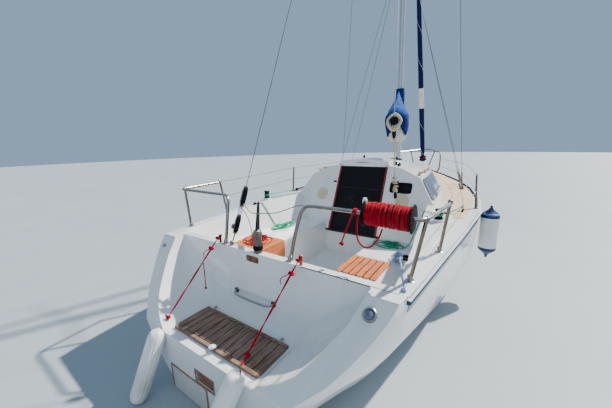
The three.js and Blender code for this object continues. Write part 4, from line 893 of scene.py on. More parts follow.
SOLIDS = {
    "hull": "hull", "gelcoat": "coachroof deck sliding_hatch forehatch", "stained": "locker_lid",
    "black": "winch_port winch_starboard tiller", "rub_strip": "rub_rail_port rub_rail_starboard",
    "varnish": "way_frame_port way_frame_starboard", "gasket": "threshold",
    "board": "washboard_lower washboard_upper", "glazing": "window_port window_starboard",
    "bottom": "keel", "weathered": "platform_grate", "dull_steel": "grab_handle",
    "steel": "pushpit_port pushpit_starboard",
    "wire": "rudder pulpit guardrail_port guardrail_starboard forestay shrouds_port "
            "shrouds_starboard backstay",
    "alloy": "mast boom", "canvas": "mast_cover sail_cover", "jib_canvas": "furled_jib",
    "teak": "teak_seat_starboard teak_seat_port", "rail_wood": "handrail_port handrail_starboard",
    "fender": "fender_stern_port fender_stern_starboard fender_side", "white_rope": "mainsheet",
    "red_rope": "rope_reel lashing_port lashing_starboard",
}


class YACHT_OT_finish_solids(bpy.types.Operator):
    """Give every solid that stays in sight its own finish"""
    bl_idname = "yacht.finish_solids"
    bl_label = "Solid finishes"

    def execute(self, context):
        for finish, names in SOLIDS.items():
            for name in names.split():
                slots = NODES[name].material_slots
                if not slots:
                    raise RuntimeError(name + " has no material slot")
                for slot in slots:
                    slot.material = FINISH[finish]
        return {"FINISHED"}


# Mouldings


def softened(node, finish, width, body="root"):
    """A copy of a solid: doubles merged, flat neighbours joined, its sharp edges rounded."""
    bm = bmesh.new()
    bm.from_mesh(NODES[node].data)
    bmesh.ops.remove_doubles(bm, verts=bm.verts, dist=2e-5)
    bmesh.ops.dissolve_degenerate(bm, dist=1e-4, edges=bm.edges)
    bmesh.ops.dissolve_limit(bm, angle_limit=radians(0.6), verts=bm.verts, edges=bm.edges)
    bm.verts.index_update()
    shape = [tuple(v.co) for v in bm.verts], [tuple(v.index for v in f.verts) for f in bm.faces]
    bm.free()
    thing = fit(node + "_moulding", shape, finish, body, node, 30.0)
    bevel = thing.modifiers.new("rounded_edges", "BEVEL")
    bevel.width = width
    bevel.segments = 2
    bevel.limit_method = "ANGLE"
    bevel.angle_limit = radians(28.0)
    bevel.use_clamp_overlap = True


class YACHT_OT_mould_shell(bpy.types.Operator):
    """Mould the hull, the deck, the coachroof and its hatch with rounded edges"""
    bl_idname = "yacht.mould_shell"
    bl_label = "Mouldings"

    def execute(self, context):
        softened("hull", "hull", 0.008)
        softened("deck", "gelcoat", 0.010)
        softened("coachroof", "gelcoat", 0.012)
        softened("sliding_hatch", "gelcoat", 0.005, "sliding_hatch")
        return {"FINISHED"}


# Stern

PINS = (("port", 0.427), ("starboard", -0.406))


def slats(name, node, low, high, count, gap, edge, finish, wave=0.0):
    """Boards side by side in a box, with a cross board at each end; each is a rounded block."""
    width = (high[1] - low[1] - gap * (count - 1)) / count
    inset = edge + gap / 2 if edge else 0.0
    boards = []
    for i in range(count):
        start, lift = low[1] + i * (width + gap), wave * sin(2.4 * i)
        boards.append(bar_shape((low[0] + inset, start, low[2] + lift),
                                (high[0] - inset, start + width, high[2] + lift), 0.1, 24))
    if edge:
        boards += [bar_shape((x, low[1], low[2]), (x + edge, high[1], high[2]), 0.1, 24)
                   for x in (low[0], high[0] - edge)]
    fit(name, boards, finish, replaces=node)


def screw_shape(at, normal, radius=0.0035):
    """A low domed screw head: r falls as the root of one less the height squared."""
    dome = [(radius * sqrt(1 - (0.98 * s) ** 2), 0.6 * radius * s) for s in np.linspace(0, 1, 6)]
    return turned_shape([(radius, -0.001)] + dome, at, normal, 14)


def fender_shape(top, foot, radius, neck=0.022, ribs=14):
    """A blown fender: rounded shoulders sqrt(1 - (1 - s)^2) between two necks, with ribs along it."""
    length = np.linalg.norm(foot - top)
    side, across, axis = square(foot - top, (-0.3, -1.0, -0.2))
    s, a = np.linspace(0, 1, 37)[:, None], around(112)[None]
    swell = np.clip(np.minimum(s, 1 - s) * length / (1.15 * radius), 0, 1)
    r = neck + (radius - neck) * np.sqrt(1 - (1 - swell) ** 2)
    r = r * (1 + 0.05 * swell * (np.abs(np.cos(ribs * a / 2)) - 0.6))
    return capped(circle(top + axis * (s * length)[..., None], r, a, side, across))


def braided_pair(path, radius, twist=0.42, step=0.006):
    """Two thin lines laid round each other along a path, half a turn apart."""
    line = resampled(path, step)
    _, side, up = frames(line)
    off = circle(0.0, radius, np.arange(len(line)) * step / twist * 2 * pi, side, up)
    return [tube_shape(line + off, radius, 8), tube_shape(line - off, radius, 8)]


class YACHT_OT_fit_stern(bpy.types.Operator):
    """Fit the stern: grating, seat boards, locker, pins, plate, ring fitting and the lashings"""
    bl_idname = "yacht.fit_stern"
    bl_label = "Stern fittings"

    def execute(self, context):
        low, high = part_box("platform_grate")
        slats("platform_boards", "platform_grate", low, high, 13, 0.009, 0.024, "weathered", 0.0006)
        rim = points((-1, -420, 968.5), (-1, -740, 968.5), (-1, -1086, 966), (2, -1116, 962))
        fit("wall_edge_strip", tube_shape(spline(rim, 0.02), 0.0034, 10), "gasket", smooth=60)
        for name, x0, x1, y0, y1, top, gap in (
                ("starboard", 0.69, 1.10, -0.69, -0.312, 0.632, 0.013),
                ("port", 0.20, 0.77, 0.345, 0.76, 0.774, 0.008)):
            slats("seat_slats_" + name, "teak_seat_" + name, (x0, y0, top - 0.0115), (x1, y1, top), 6,
                  gap, 0, "teak")
            bed = bar_shape((x0 + 0.004, y0 + 0.004, top - 0.0117),
                            (x1 - 0.004, y1 - 0.004, top - 0.0073), 0.05, 24)
            fit("seat_slats_" + name + "_bed", bed, "gasket")
        slats("seat_face_port", "", (0.20, 0.346, 0.590), (0.77, 0.3585, 0.762), 1, 0.0, 0, "teak")
        level = high[2] - 0.001
        ring = joined([plate_shape(0.024, 0.024, 0.004, 2.0),
                       block_shape((0.0, 0, 0.006), (0.016, 0.008, 0.006), 0.4, sides=20)])
        fit("platform_lift_ring", set_in(ring, (-0.452, -0.005, level), along((1, 0.2, 0))),
            "white_moulding")
        clip = joined([plate_shape(0.02, 0.014, 0.003, 3.0),
                       block_shape((0.006, 0, 0.006), (0.012, 0.008, 0.005), 0.5, sides=20)])
        for name, y in (("port", 0.354), ("starboard", -0.347)):
            fit("platform_clip_" + name, set_in(clip, (-0.150, y, level), along((1, 0.1, 0))),
                "dull_steel")
        for name, y in PINS:
            fit("lashing_pin_" + name, turned_shape(
                [(0.016, 0.9545), (0.016, 0.960), (0.0115, 0.964), (0.0102, 0.985), (0.0102, 1.028),
                 (0.0125, 1.032), (0.0125, 1.039), (0.009, 1.0425)], (0.022, y, 0.0), sides=24), "bronze")
        plate = plate_shape(0.064, 0.026, 0.004, 6.0)
        fit("blank_bronze_plate", set_in(plate, (0.001, 0.038, 0.918), np.stack([Y, Z, -X])), "bronze",
            recalc=True)
        fit("wall_screws", [screw_shape((0.0, y, z), -X) for y, z in (
            (0.334, 0.886), (0.346, 0.80), (0.092, 0.918), (-0.016, 0.918))], "dull_steel")
        normal = unit((-1.0, 0, 0.9))
        centre = (-0.152, -0.966, 0.8951) + 0.0005 * normal
        fit("quarter_ring", turned_shape([(0.040, -0.001), (0.040, 0.004), (0.036, 0.009),
                                          (0.030, 0.009), (0.026, 0.004), (0.024, 0.003),
                                          (0.0, 0.003)], centre, normal, 40), "dull_steel")
        fit("quarter_ring_lens", turned_shape([(0.0235, 0.0), (0.0225, 0.007), (0.016, 0.012),
                                               (0.006, 0.0145), (0.0, 0.0148)], centre, normal),
            "glazing")
        pad = set_in(plate_shape(0.018, 0.026, 0.003, 3.0), (-0.156, 1.005, 0.8911), square(normal, -Y))
        fit("quarter_pad", pad, "dull_steel", recalc=True)
        self.locker()
        self.lashings()
        return {"FINISHED"}

    def locker(self):
        """The low locker: a lid in a rusting frame, and a vent with slanted louvres"""
        (x, y0, z0), (_, y1, z1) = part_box("locker_lid")
        lap = 0.016
        fit("locker_frame", [bar_shape((x - 0.0024, *low), (x + 0.0032, *high), 0.15, 20)
                             for low, high in (((y0 - lap, z1), (y1 + lap, z1 + 0.014)),
                                               ((y0 - lap, z0), (y0, z1)),
                                               ((y1, z0), (y1 + lap, z1)))], "rust")
        fit("vent_louvres", [block_shape((-0.5205, 0.005, z), (0.007, 0.0935, 0.0022), 0.3, tip=0.6,
                                         sides=20) for z in 0.226 + 0.0185 * np.arange(5)], "rust")
        fit("vent_frame", [block_shape((-0.531, y, z), (0.0028, wide, high), 0.2, sides=20)
                           for y, z, wide, high in (
                               (0.005, 0.2125, 0.102, 0.005), (0.005, 0.3125, 0.102, 0.005),
                               (-0.0925, 0.2625, 0.005, 0.055), (0.1025, 0.2625, 0.005, 0.055))], "rust")

    def lashings(self):
        """Red lines hauled down from the pins to the platform's edge, doubled, with their knots"""
        port = points((10.4, 427, 1030), (-468, 509, 497))
        starboard = points((10.4, -405, 1024), (-396, -264, 480), (-452, -286, 479.4))
        for (name, y), path in zip(PINS, (port, starboard)):
            down = unit(path[1] - path[0])
            shapes = braided_pair(path, 0.0036)
            shapes += [knot_shape(at, size, down) for at, size in (
                (path[0] + down * 0.02, 0.017), (path[0] + down * 0.115, 0.019),
                (path[1] - down * 0.018, 0.016))]
            t = np.linspace(0, 1, 30)[:, None]
            bow = (path[0] + down * 0.115 - 0.05 * Z * t ** 3
                   + np.array((-0.03, 0.075, -0.035)) * np.sin(pi * 0.62 * t))
            turn = np.linspace(0, 4 * pi, 40)
            coil = circle(xyz(0.022, y, 1.022 + 0.005 * turn / (2 * pi)), 0.0135, turn)
            shapes += [tube_shape(bow, 0.0032, 8), tube_shape(coil, 0.0027, 8)]
            fit("lashing_" + name + "_line", shapes, "red_rope", replaces="lashing_" + name, smooth=60)


class YACHT_OT_hang_fenders(bpy.types.Operator):
    """Hang the fenders: two long ones at the stern, a round one with dark ends on the side"""
    bl_idname = "yacht.hang_fenders"
    bl_label = "Fenders"

    def execute(self, context):
        for node, (top, foot) in (
                ("fender_stern_port", points((-548, 480, 475), (-760, 500, 8))),
                ("fender_stern_starboard", points((-548, -370, 545), (-760, -235, 78)))):
            eye = turned_shape([(0.010, -0.006), (0.016, 0.0), (0.016, 0.012), (0.020, 0.02)], top,
                               foot - top, 20)
            fit(node + "_body", [fender_shape(top, foot, 0.0605), eye], "fender", replaces=node,
                recalc=True)
            fit(node + "_tie", knot_shape(top + (0.004, 0, -0.004), 0.012), "red_rope", smooth=60,
                recalc=True)
        low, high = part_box("fender_side")
        centre = [(low[0] + high[0]) / 2, (low[1] + high[1]) / 2, high[2]]
        height, radius = high[2] - low[2], 0.41 * (high[0] - low[0])
        drop = np.array((0, 0.006, 0.02, 0.03, 0.05, 0.07, 0.086, 0.10, 0.112, 0.13)) / 0.6 * height
        swell = np.array((0.09, 0.13, 0.15, 0.19, 0.36, 0.62, 0.83, 0.935, 0.975, 0.992)) * radius
        foot = [(swell[0] * 0.6, -height), *zip(swell, drop - height)]
        head = [*zip(swell[::-1], -drop[::-1]), (swell[0] * 0.6, 0.0)]
        body = [foot[-1], (radius * 0.996, foot[-1][1] + 0.03), (radius * 0.99, -height / 2),
                (radius * 0.996, head[0][1] - 0.03), head[0]]
        collar = np.array(((0.86, -0.104), (0.95, -0.098), (0.87, -0.086), (0.78, -0.082))) * (radius, 1)
        for name, profile, finish in (("foot", foot, "fender_end"), ("body", body, "fender"),
                                      ("head", head, "fender_end"), ("collar", collar, "blue_moulding")):
            fit("fender_side_" + name, turned_shape(profile, centre, sides=40), finish,
                replaces="fender_side" if name == "foot" else "")
        return {"FINISHED"}


# Lines of the hull, as the source gives them, in mm: x, half-beam, sheer, keel, low and high power

STATIONS = np.array((
    (-560, 800, 955, -50, 1.4, 2.4), (-490, 880, 956, -58, 1.4, 2.4), (-420, 945, 958, -64, 1.5, 2.3),
    (-330, 1002, 960, -72, 1.5, 2.2), (-200, 1058, 964, -84, 1.6, 2.1), (-100, 1096, 967, -94, 1.7, 2.1),
    (60, 1124, 970, -110, 1.9, 2.1), (500, 1168, 980, -170, 2.3, 2.1), (1200, 1243, 990, -260, 2.8, 2.1),
    (2100, 1325, 1000, -330, 3.0, 2.1), (2700, 1288, 1025, -335, 2.9, 2.1),
    (3300, 1164, 1045, -310, 2.6, 2.0), (3900, 953, 1063, -250, 2.3, 1.8),
    (4500, 655, 1080, -150, 2.0, 1.6), (5000, 352, 1095, -20, 1.7, 1.4), (5300, 185, 1105, 230, 1.5, 1.3),
    (5550, 65, 1113, 680, 1.3, 1.2), (5700, 12, 1118, 1010, 1.2, 1.2)))
COACH_FOOT = points((1828, 905), (2300, 880), (2900, 815), (3600, 660), (4000, 520), (4190, 440),
                    (4200, 240), (4760, 240), (4800, 20), (5700, 20))


def station(x, column):
    """A station's value between the stations on either side."""
    return np.interp(np.asarray(x) / MM, STATIONS[:, 0], STATIONS[:, column])


def half_beam(x, z):
    """Half-width at a height: beam (1 - drop ^ low) ^ (1 / high), where drop runs from sheer to keel."""
    sheer, keel = station(x, 2), station(x, 3)
    drop = ((sheer - z / MM) / (sheer - keel)).clip(0, 1)
    return station(x, 1) * MM * (1 - drop ** station(x, 4)) ** (1 / station(x, 5))


def deck_height(x, y):
    """The deck: sheer + camber (1 - (y / beam)^2), with the camber growing over the first 1.8 m."""
    beam = station(x, 1)
    camber = 60 * np.minimum(1, beam / 600) * (np.asarray(x) / 1.8).clip(0, 1)
    return (station(x, 2) + camber * (1 - (np.abs(y) / MM / beam) ** 2)) * MM


class YACHT_OT_line_hull(bpy.types.Operator):
    """Line the hull: navy stripes, toe rails and the anti-skid panels of the decks"""
    bl_idname = "yacht.line_hull"
    bl_label = "Stripes and panels"

    def execute(self, context):
        for name, side in SIDES:
            x = np.linspace(0.03, 5.55, 150)[:, None]
            z = station(x, 2) * MM - np.linspace(0.018, 0.112, 7)[None]
            band = xyz(x, side * (half_beam(x, z) + 0.0006), z)
            fit("stripe_" + name, shell_shape(band, 0.0012, side * Y), "stripe", recalc=True)
            x = np.linspace(2.25, 5.5, 100)
            y = side * (station(x, 1) * MM - 0.03)
            fit("toe_rail_" + name, tube_shape(xyz(x, y, deck_height(x, y) + 0.010), 0.012), "gasket",
                smooth=60)
            x = np.linspace(1.66, 5.25, 130)[:, None]
            inner = np.interp(x, COACH_FOOT[:, 0], COACH_FOOT[:, 1]) + 0.035
            outer = np.maximum(station(x, 1) * MM - 0.075, inner + 0.004)
            y = side * (inner + (outer - inner) * np.linspace(0, 1, 14)[None])
            panel = xyz(x, y, deck_height(x, y) + 0.0002)
            fit("anti_skid_" + name, shell_shape(panel, 0.0014, Z), "anti_skid", recalc=True)
        return {"FINISHED"}


# Rails, reel and winches


def rail_path(side, foot):
    """The stern rail's line: up from its inboard foot, along the stern and forward along the side."""
    return points((34, foot, 965), (88, foot + 20, 1180), (128, foot + 40, 1310),
                  (150, foot + 70, 1348), (158, foot + 128, 1352), (158, 760, 1352), (158, 1060, 1352),
                  (158, 1100, 1352), (168, 1130, 1352), (200, 1150, 1352), (330, 1166, 1352),
                  (680, 1200, 1352)) * (1, side, 1)


def foot_plate(at, radius=0.03):
    """A rail's foot: a thin round flange with a short socket above it."""
    return turned_shape([(radius, -0.004), (radius, 0.0015), (radius - 0.003, 0.0035), (0.019, 0.005),
                         (0.0175, 0.010), (0.0165, 0.032), (0.0145, 0.034)], at, sides=28)


class YACHT_OT_bend_rails(bpy.types.Operator):
    """Bend the stern rails from polished tube, with their legs and feet"""
    bl_idname = "yacht.bend_rails"
    bl_label = "Stern rails"

    def execute(self, context):
        for (name, side), foot in zip(SIDES, (375, 302)):
            rail = eased(rail_path(side, foot), 0.06, 0.010)
            legs = (points((178, side * 1080, 965), (196, side * 1146, 1352)),
                    points((706, side * 1150, 970), (672, side * 1199, 1364)))
            tubes = [tube_shape(rail, RAIL_RADIUS, 20)]
            tubes += [rod(*leg, LEG_RADIUS, 18) for leg in legs]
            tubes += [foot_plate((x, y, deck_height(x, y) + 0.0006))
                      for x, y, _ in (rail[0], legs[0][0], legs[1][0])]
            tubes += [block_shape(leg[1], (0.017, 0.017, 0.017), 0.7, sides=20) for leg in legs]
            fit("stern_rail_" + name, tubes, "steel", replaces="pushpit_" + name, smooth=50)
        return {"FINISHED"}


class YACHT_OT_wind_reel(bpy.types.Operator):
    """Wind the red stern line on its reel between two black flanges, with its grip"""
    bl_idname = "yacht.wind_reel"
    bl_label = "Rope reel"

    def execute(self, context):
        x, inner, z = hub = np.array((0.158, -0.800, RAIL_Z))
        rim = np.array(((0.020, 0.0), (0.078, 0.0), (0.083, 0.002), (0.084, 0.0045), (0.083, 0.007),
                        (0.078, 0.009), (0.020, 0.009)))
        shapes = [turned_shape(rim + (0, start), hub, -Y, 56) for start in (0.0, 0.279)]
        shapes.append(turned_shape([(0.050, 0.008), (0.050, 0.280)], hub, -Y, 40))
        shapes += [block_shape(at, (0.013, 0.0035, 0.013), 0.6, sides=20)
                   for at in circle(hub + 0.0003 * Y, 0.05, around(6), X, Z)]
        fit("reel_flanges", shapes, "black", "rope_reel", "rope_reel")
        low, high = (np.linspace(0, turns, turns * 26) for turns in (29, 27))
        for name, t, way, r, y in (
                ("low", low, 1, 0.0605 + 0.003 * np.sin(1.9 * low) + 0.002 * np.sin(5.3 * low + 1.0),
                 -0.0155 - 0.2565 * low / 29 + 0.004 * np.sin(2 * pi * low * 0.31)),
                ("high", high, -1, 0.0684 + 0.0016 * np.sin(2.7 * high) + 0.0022 * np.sin(6.1 * high),
                 -0.2715 + 0.25 * high / 27 + 0.006 * np.sin(2 * pi * high * 0.37 + 0.8))):
            path = circle(xyz(x, inner + y, z), r, way * 2 * pi * t, X, Z)
            rope_piece("reel_rope_" + name, path, 0.0042, "red_rope", 8, "rope_reel")
        grip = turned_shape([(0.006, 0.0), (0.0125, 0.004), (0.0145, 0.016), (0.0135, 0.034),
                             (0.010, 0.043), (0.004, 0.045)], hub + (-0.004, 0.001, 0.052), sides=24)
        fit("reel_crank", grip, "white_moulding", "rope_reel")
        return {"FINISHED"}


WINCH = np.array(((0.030, 0.0), (0.0376, 0.01), (0.0376, 0.09), (0.033, 0.13), (0.029, 0.24),
                  (0.0278, 0.4), (0.0278, 0.62), (0.030, 0.76), (0.0358, 0.85), (0.0378, 0.9),
                  (0.0374, 0.95), (0.030, 0.985), (0.020, 1.0)))


class YACHT_OT_set_winches(bpy.types.Operator):
    """Set the winches, the rope cams, the mooring cleat and the sheets' leads"""
    bl_idname = "yacht.set_winches"
    bl_label = "Winches and cleats"

    def execute(self, context):
        for name, side in SIDES:
            node = "winch_" + name
            low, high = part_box(node)
            height = high[2] - low[2]
            foot = np.array(((low[0] + high[0]) / 2, (low[1] + high[1]) / 2, low[2]))
            ribs = [block_shape(at, (0.0016, 0.0016, 0.02), 0.5, sides=12)
                    for at in circle(foot + 0.5 * height * Z, 0.0283, around(12))]
            fit("winch_drum_" + name, [turned_shape(WINCH * (1, height), foot, sides=48), *ribs], "black",
                node, node)
            socket = [(0.0185, -0.001), (0.0185, 0.0035), (0.0165, 0.005), (0.0085, 0.005), (0.008, 0.001)]
            fit("winch_cap_" + name, turned_shape(socket, foot + (height - 0.002) * Z, sides=28),
                "dull_steel", node)
            wraps = np.linspace(0, 2 * pi * 2.6, 90)
            rise = 0.026 + 0.0098 * wraps / (2 * pi)
            coil = circle(foot + rise[:, None] * Z, 0.0332, side * (1.2 - wraps))
            rope_piece("winch_turns_" + name, coil, 0.0045, "green_rope", 10)
        self.cams()
        self.cleat()
        return {"FINISHED"}

    def cams(self):
        """Black cam cleats on the coamings and the sheets' lead blocks on the side decks"""
        shapes = []
        for x, y, turn in ((1.02, 1.005, 0.5), (1.46, -0.985, -0.3), (1.58, -1.06, 0.1),
                           (0.42, -0.99, 0.2)):
            z = deck_height(x, y) + 0.036 * min(1.0, max(0.0, (x - 0.26) / 0.44))
            shapes.append(block_shape((x, y, z + 0.008), (0.034, 0.017, 0.008), 0.25, turn, sides=24))
            shapes += [block_shape((x + k * 0.009 * sin(turn), y - k * 0.009 * cos(turn), z + 0.021),
                                   (0.013, 0.008, 0.009), 0.6, turn + 0.5 * k, sides=20)
                       for k in (-1, 1)]
        for x, y in ((2.12, 1.17), (1.96, -1.17)):
            z = deck_height(x, y)
            shapes.append(block_shape((x, y, z + 0.006), (0.05, 0.016, 0.006), 0.25, sides=24))
            shapes.append(block_shape((x, y, z + 0.034), (0.026, 0.011, 0.026), 0.75, sides=28))
        fit("cams_and_leads", shapes, "black")
        for name, path in (
                ("port", ((1.322, 1.066, 1.118), (1.62, 1.105, 1.082), (2.105, 1.17, 1.062))),
                ("starboard", ((1.322, -1.066, 1.118), (1.62, -1.115, 1.082), (1.945, -1.17, 1.062)))):
            rope_piece("sheet_lead_" + name, spline(path, 0.01), 0.0045, "green_rope")

    def cleat(self):
        """The mooring line's cleat and knot on the starboard seat"""
        horn = ((-0.075, 0, 0.030), (-0.045, 0, 0.026), (0, 0, 0.022), (0.045, 0, 0.026),
                (0.075, 0, 0.030))
        place, axes = (1.19, -0.712, SEAT_STARBOARD_Z + 0.0003), along((1, 0.35, 0))
        cleat = joined([tube_shape(spline(horn, 0.006), 0.007, 14),
                        *[block_shape((x, 0, 0.011), (0.008, 0.009, 0.011), 0.5, sides=20)
                          for x in (-0.02, 0.02)], plate_shape(0.042, 0.014, 0.003, 3.0)])
        fit("mooring_cleat", set_in(cleat, place, axes), "dull_steel", smooth=50)
        t = np.linspace(0, 12 * pi, 420)
        knot = xyz(0.060 * np.sin(t / 2 + 0.1 * np.sin(t / 5)) + 0.012 * np.sin(0.37 * t),
                   0.034 * np.sin(t) + 0.014 * np.sin(0.31 * t),
                   0.046 + 0.022 * np.cos(t + 0.6) + 0.014 * np.sin(0.23 * t))
        rope_piece("mooring_turns", knot @ axes + place, SHEET_RADIUS, "blue_rope", 10)


class YACHT_OT_fit_steering(bpy.types.Operator):
    """Fit the rudder head's collar, bolts and knob"""
    bl_idname = "yacht.fit_steering"
    bl_label = "Steering"

    def execute(self, context):
        stock = 0.030 * X
        ahead = np.array((cos(TILLER_REST), sin(TILLER_REST), 0.0))
        across = np.cross(Z, ahead)
        pin = stock + 0.046 * ahead + 1.108 * Z
        collar = [(0.0365, 0.998), (0.0375, 1.001), (0.0375, 1.024), (0.0365, 1.027)]
        fit("head_collar", turned_shape(collar, stock), "black", "rudder")
        bolt = [(0.011, 0.0), (0.011, 0.004), (0.007, 0.007), (0.002, 0.0075)]
        fit("head_bolts", [turned_shape(bolt, pin + side * 0.0303 * across, side * across, 20)
                           for side in (1, -1)], "dull_steel", "rudder")
        knob = [(0.008, 1.05), (0.010, 1.12), (0.017, 1.136), (0.019, 1.146), (0.015, 1.158),
                (0.005, 1.163)]
        fit("head_knob", turned_shape(knob, stock - 0.0204 * ahead, sides=28), "black", "rudder")
        return {"FINISHED"}


# Cabin

LEAN_OUT = unit((-1.0, 0.0, LEAN))
LEAN_AXES = np.stack([-Y, unit((LEAN, 0.0, 1.0)), LEAN_OUT])
# The coachroof's side: columns are x at the deck, lean, half-width at the deck, shoulder's and height
ROOF_SIDE = np.array(((1828, 454, 905, 720, 1345), (2300, 200, 880, 712, 1348),
                      (2900, 0, 815, 655, 1340), (3600, -250, 660, 520, 1312))) * MM
ROOF_AFT = (1.828, 1.050)
SIDE_FOOT_Z = 1.060
PANE = points((1882, 1092), (3060, 1082), (2935, 1322), (1984, 1326))


def on_bulkhead(y, z, off=0.0006):
    """A point on the coachroof's leaning aft face: x = x0 + lean (z - z0)."""
    return np.array((ROOF_AFT[0] + LEAN * (z - ROOF_AFT[1]), y, z)) + LEAN_OUT * off


def on_side(x, z, side, off):
    """Points on the coachroof's leaning side: y runs straight from the deck to the shoulder."""
    place, lean, foot, shoulder, height = ROOF_SIDE.T[:, :, None]
    flat, high = x.ravel(), z.ravel()[None]
    place = place + lean * (high - ROOF_AFT[1])
    wide = foot + (shoulder - foot) * (high - SIDE_FOOT_Z) / (height - SIDE_FOOT_Z)
    y = np.zeros(len(flat))
    for k in range(len(place) - 1):
        part = np.clip((flat - place[k]) / (place[k + 1] - place[k]), 0, 1)
        y = np.where(flat >= place[k] if k else flat > -1, wide[k] + (wide[k + 1] - wide[k]) * part, y)
    skin = xyz(flat, side * y, high[0])
    return (skin + off * unit((-0.05, side, 0.6))).reshape(x.shape + (3,))


def side_patch(corners, side, scale, proud):
    """A panel between four corners on the coachroof's side: rings of |u|^8 + |v|^8 = q^8, domed."""
    q = np.concatenate([np.linspace(0.0, 0.94, 12), [0.97, 0.99, 1.0, 1.0]])[:, None]
    a = around(88)[None]
    edge = scale / (np.cos(a) ** 8 + np.sin(a) ** 8) ** 0.125
    u, v = ((q * edge * wave + 1)[..., None] / 2 for wave in (np.cos(a), np.sin(a)))
    flat = ((corners[0] * (1 - u) + corners[1] * u) * (1 - v)
            + (corners[3] * (1 - u) + corners[2] * u) * v)
    rise = np.full(q.shape, proud)
    rise[-3:, 0] = proud - 0.0006, proud - 0.002, -0.006
    skin = on_side(flat[..., 0], flat[..., 1], side, 0.0) + rise[..., None] * unit((-0.05, side, 0.6))
    return capped(skin[1:])


class YACHT_OT_fit_cabin(bpy.types.Operator):
    """Fit the cabin: cover discs, instrument panel, eyes, window panes, roof fittings, hatch grip"""
    bl_idname = "yacht.fit_cabin"
    bl_label = "Cabin fittings"

    def execute(self, context):
        rim = [(0.080, -0.002), (0.080, 0.004), (0.077, 0.009), (0.070, 0.011), (0.065, 0.008),
               (0.022, 0.0085), (0.018, 0.012), (0.004, 0.0125)]
        fit("bulkhead_discs", [turned_shape(rim, on_bulkhead(y, z), LEAN_OUT, 48)
                               for y, z in ((0.520, 1.085), (-0.557, 1.081))], "cream_moulding")
        dial = plate_shape(0.046, 0.040, 0.012, 5.0, 0.001)
        panel = joined([plate_shape(0.128, 0.066, 0.009, 7.0, 0.002),
                        *[(dial[0] + (x, 0, 0), dial[1]) for x in (-0.06, 0.06)]])
        fit("instrument_panel", set_in(panel, on_bulkhead(-0.520, 1.223), LEAN_AXES), "black",
            recalc=True)
        face = plate_shape(0.036, 0.030, 0.0006, 4.0, 0.0002)
        fit("instrument_faces", [set_in(face, on_bulkhead(y, 1.223, 0.0128), LEAN_AXES)
                                 for y in (-0.580, -0.460)], "board", recalc=True)
        t = np.linspace(0, pi, 24)
        loop = tube_shape(xyz(0.016 * np.cos(t), 0, 0.022 * np.sin(t)), 0.0035, 10)
        eyes = [set_in(shape, on_bulkhead(y, z), LEAN_AXES)
                for y, z in ((-0.425, 1.330), (0.36, 1.250))
                for shape in (loop, plate_shape(0.026, 0.011, 0.003, 3.0))]
        ledge = block_shape((1.652, 0.0, SILL_Z - 0.004), (0.022, 0.365, 0.012), 0.3, sides=24)
        fit("sill_ledge", ledge, "gasket")
        roof = [turned_shape([(0.092, -0.004), (0.092, 0.010), (0.080, 0.016), (0.030, 0.018),
                              (0.026, 0.034), (0.008, 0.036)], (3.27, -0.045, 1.462), sides=36)]
        for x, y, z in ((2.20, -0.405, 1.462), (2.24, -0.350, 1.470), (2.20, 0.405, 1.462)):
            roof.append(block_shape((x, y, z), (0.05, 0.014, 0.022), 0.4, 0.06, -0.06, 24))
            roof.append(block_shape((x + 0.02, y, z + 0.026), (0.036, 0.008, 0.008), 0.5, 0.06, 0.2, 20))
        fit("roof_clutches", roof, "black")
        fit("bulkhead_eyes", eyes, "black", smooth=50, recalc=True)
        low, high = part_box("sliding_hatch")
        knob = turned_shape([(0.012, -0.002), (0.010, 0.012), (0.016, 0.018), (0.017, 0.026),
                             (0.012, 0.033), (0.003, 0.035)], (low[0] + 0.05, 0.012, high[2] + 0.004),
                            sides=24)
        fit("hatch_knob", knob, "black", "sliding_hatch")
        for name, side in SIDES:
            self.window(name, side)
        middle = (BULKHEAD_X + LEAN * (1.18 - SILL_Z), 0.0, 1.18) + LEAN_OUT * 0.002
        batten = block_shape((0, 0, 0), (0.275, 0.008, 0.0028), 0.2, sides=24)
        fit("washboard_batten", set_in(batten, middle, LEAN_AXES), "gasket")
        return {"FINISHED"}

    def window(self, name, side):
        """A tinted pane that laps over its opening, on a dark bed of sealant, with white catches"""
        fit("window_bed_" + name, side_patch(PANE, side, 1.0, 0.0045), "gasket", smooth=60, recalc=True)
        fit("window_pane_" + name, side_patch(PANE, side, 0.965, 0.0085), "glazing",
            replaces="window_" + name, smooth=60, recalc=True)
        catches = on_side(np.array((2.05, 2.95)), np.array((1.115, 1.115)), side, 0.007)
        fit("window_catches_" + name, [
            turned_shape([(0.014, 0.0), (0.014, 0.010), (0.009, 0.015)], at, (0, side, 0.5), 20)
            for at in catches], "white_moulding")


# Rig


def rig_place(p):
    """A point of the mast's own frame in the yacht's: turned back by the rake, moved to the foot."""
    x, y, z = np.moveaxis(np.asarray(p, float), -1, 0)
    c, s = cos(MAST_RAKE), sin(MAST_RAKE)
    return xyz(x * c - z * s, y, x * s + z * c) + MAST_FOOT


def boom_place(p):
    """A point of the boom's frame in the yacht's: turned to starboard about the gooseneck."""
    x, y, z = np.moveaxis(np.asarray(p, float), -1, 0)
    c, s = cos(BOOM_REST), sin(BOOM_REST)
    return rig_place(xyz(x * c - y * s - 0.078, x * s + y * c, z + 0.653))


COVER_START, COVER_END = -0.178, -2.118
# The stowed sail's sections, aft end first: x, half-width, height and depth
COVER = points((-2110, 112, 116, 170), (-2060, 114, 122, 175), (-1500, 118, 215, 165),
               (-900, 112, 300, 140), (-420, 98, 390, 100), (-175, 64, 440, 60))
TIES = (-0.45, -0.95, -1.45, -1.9)


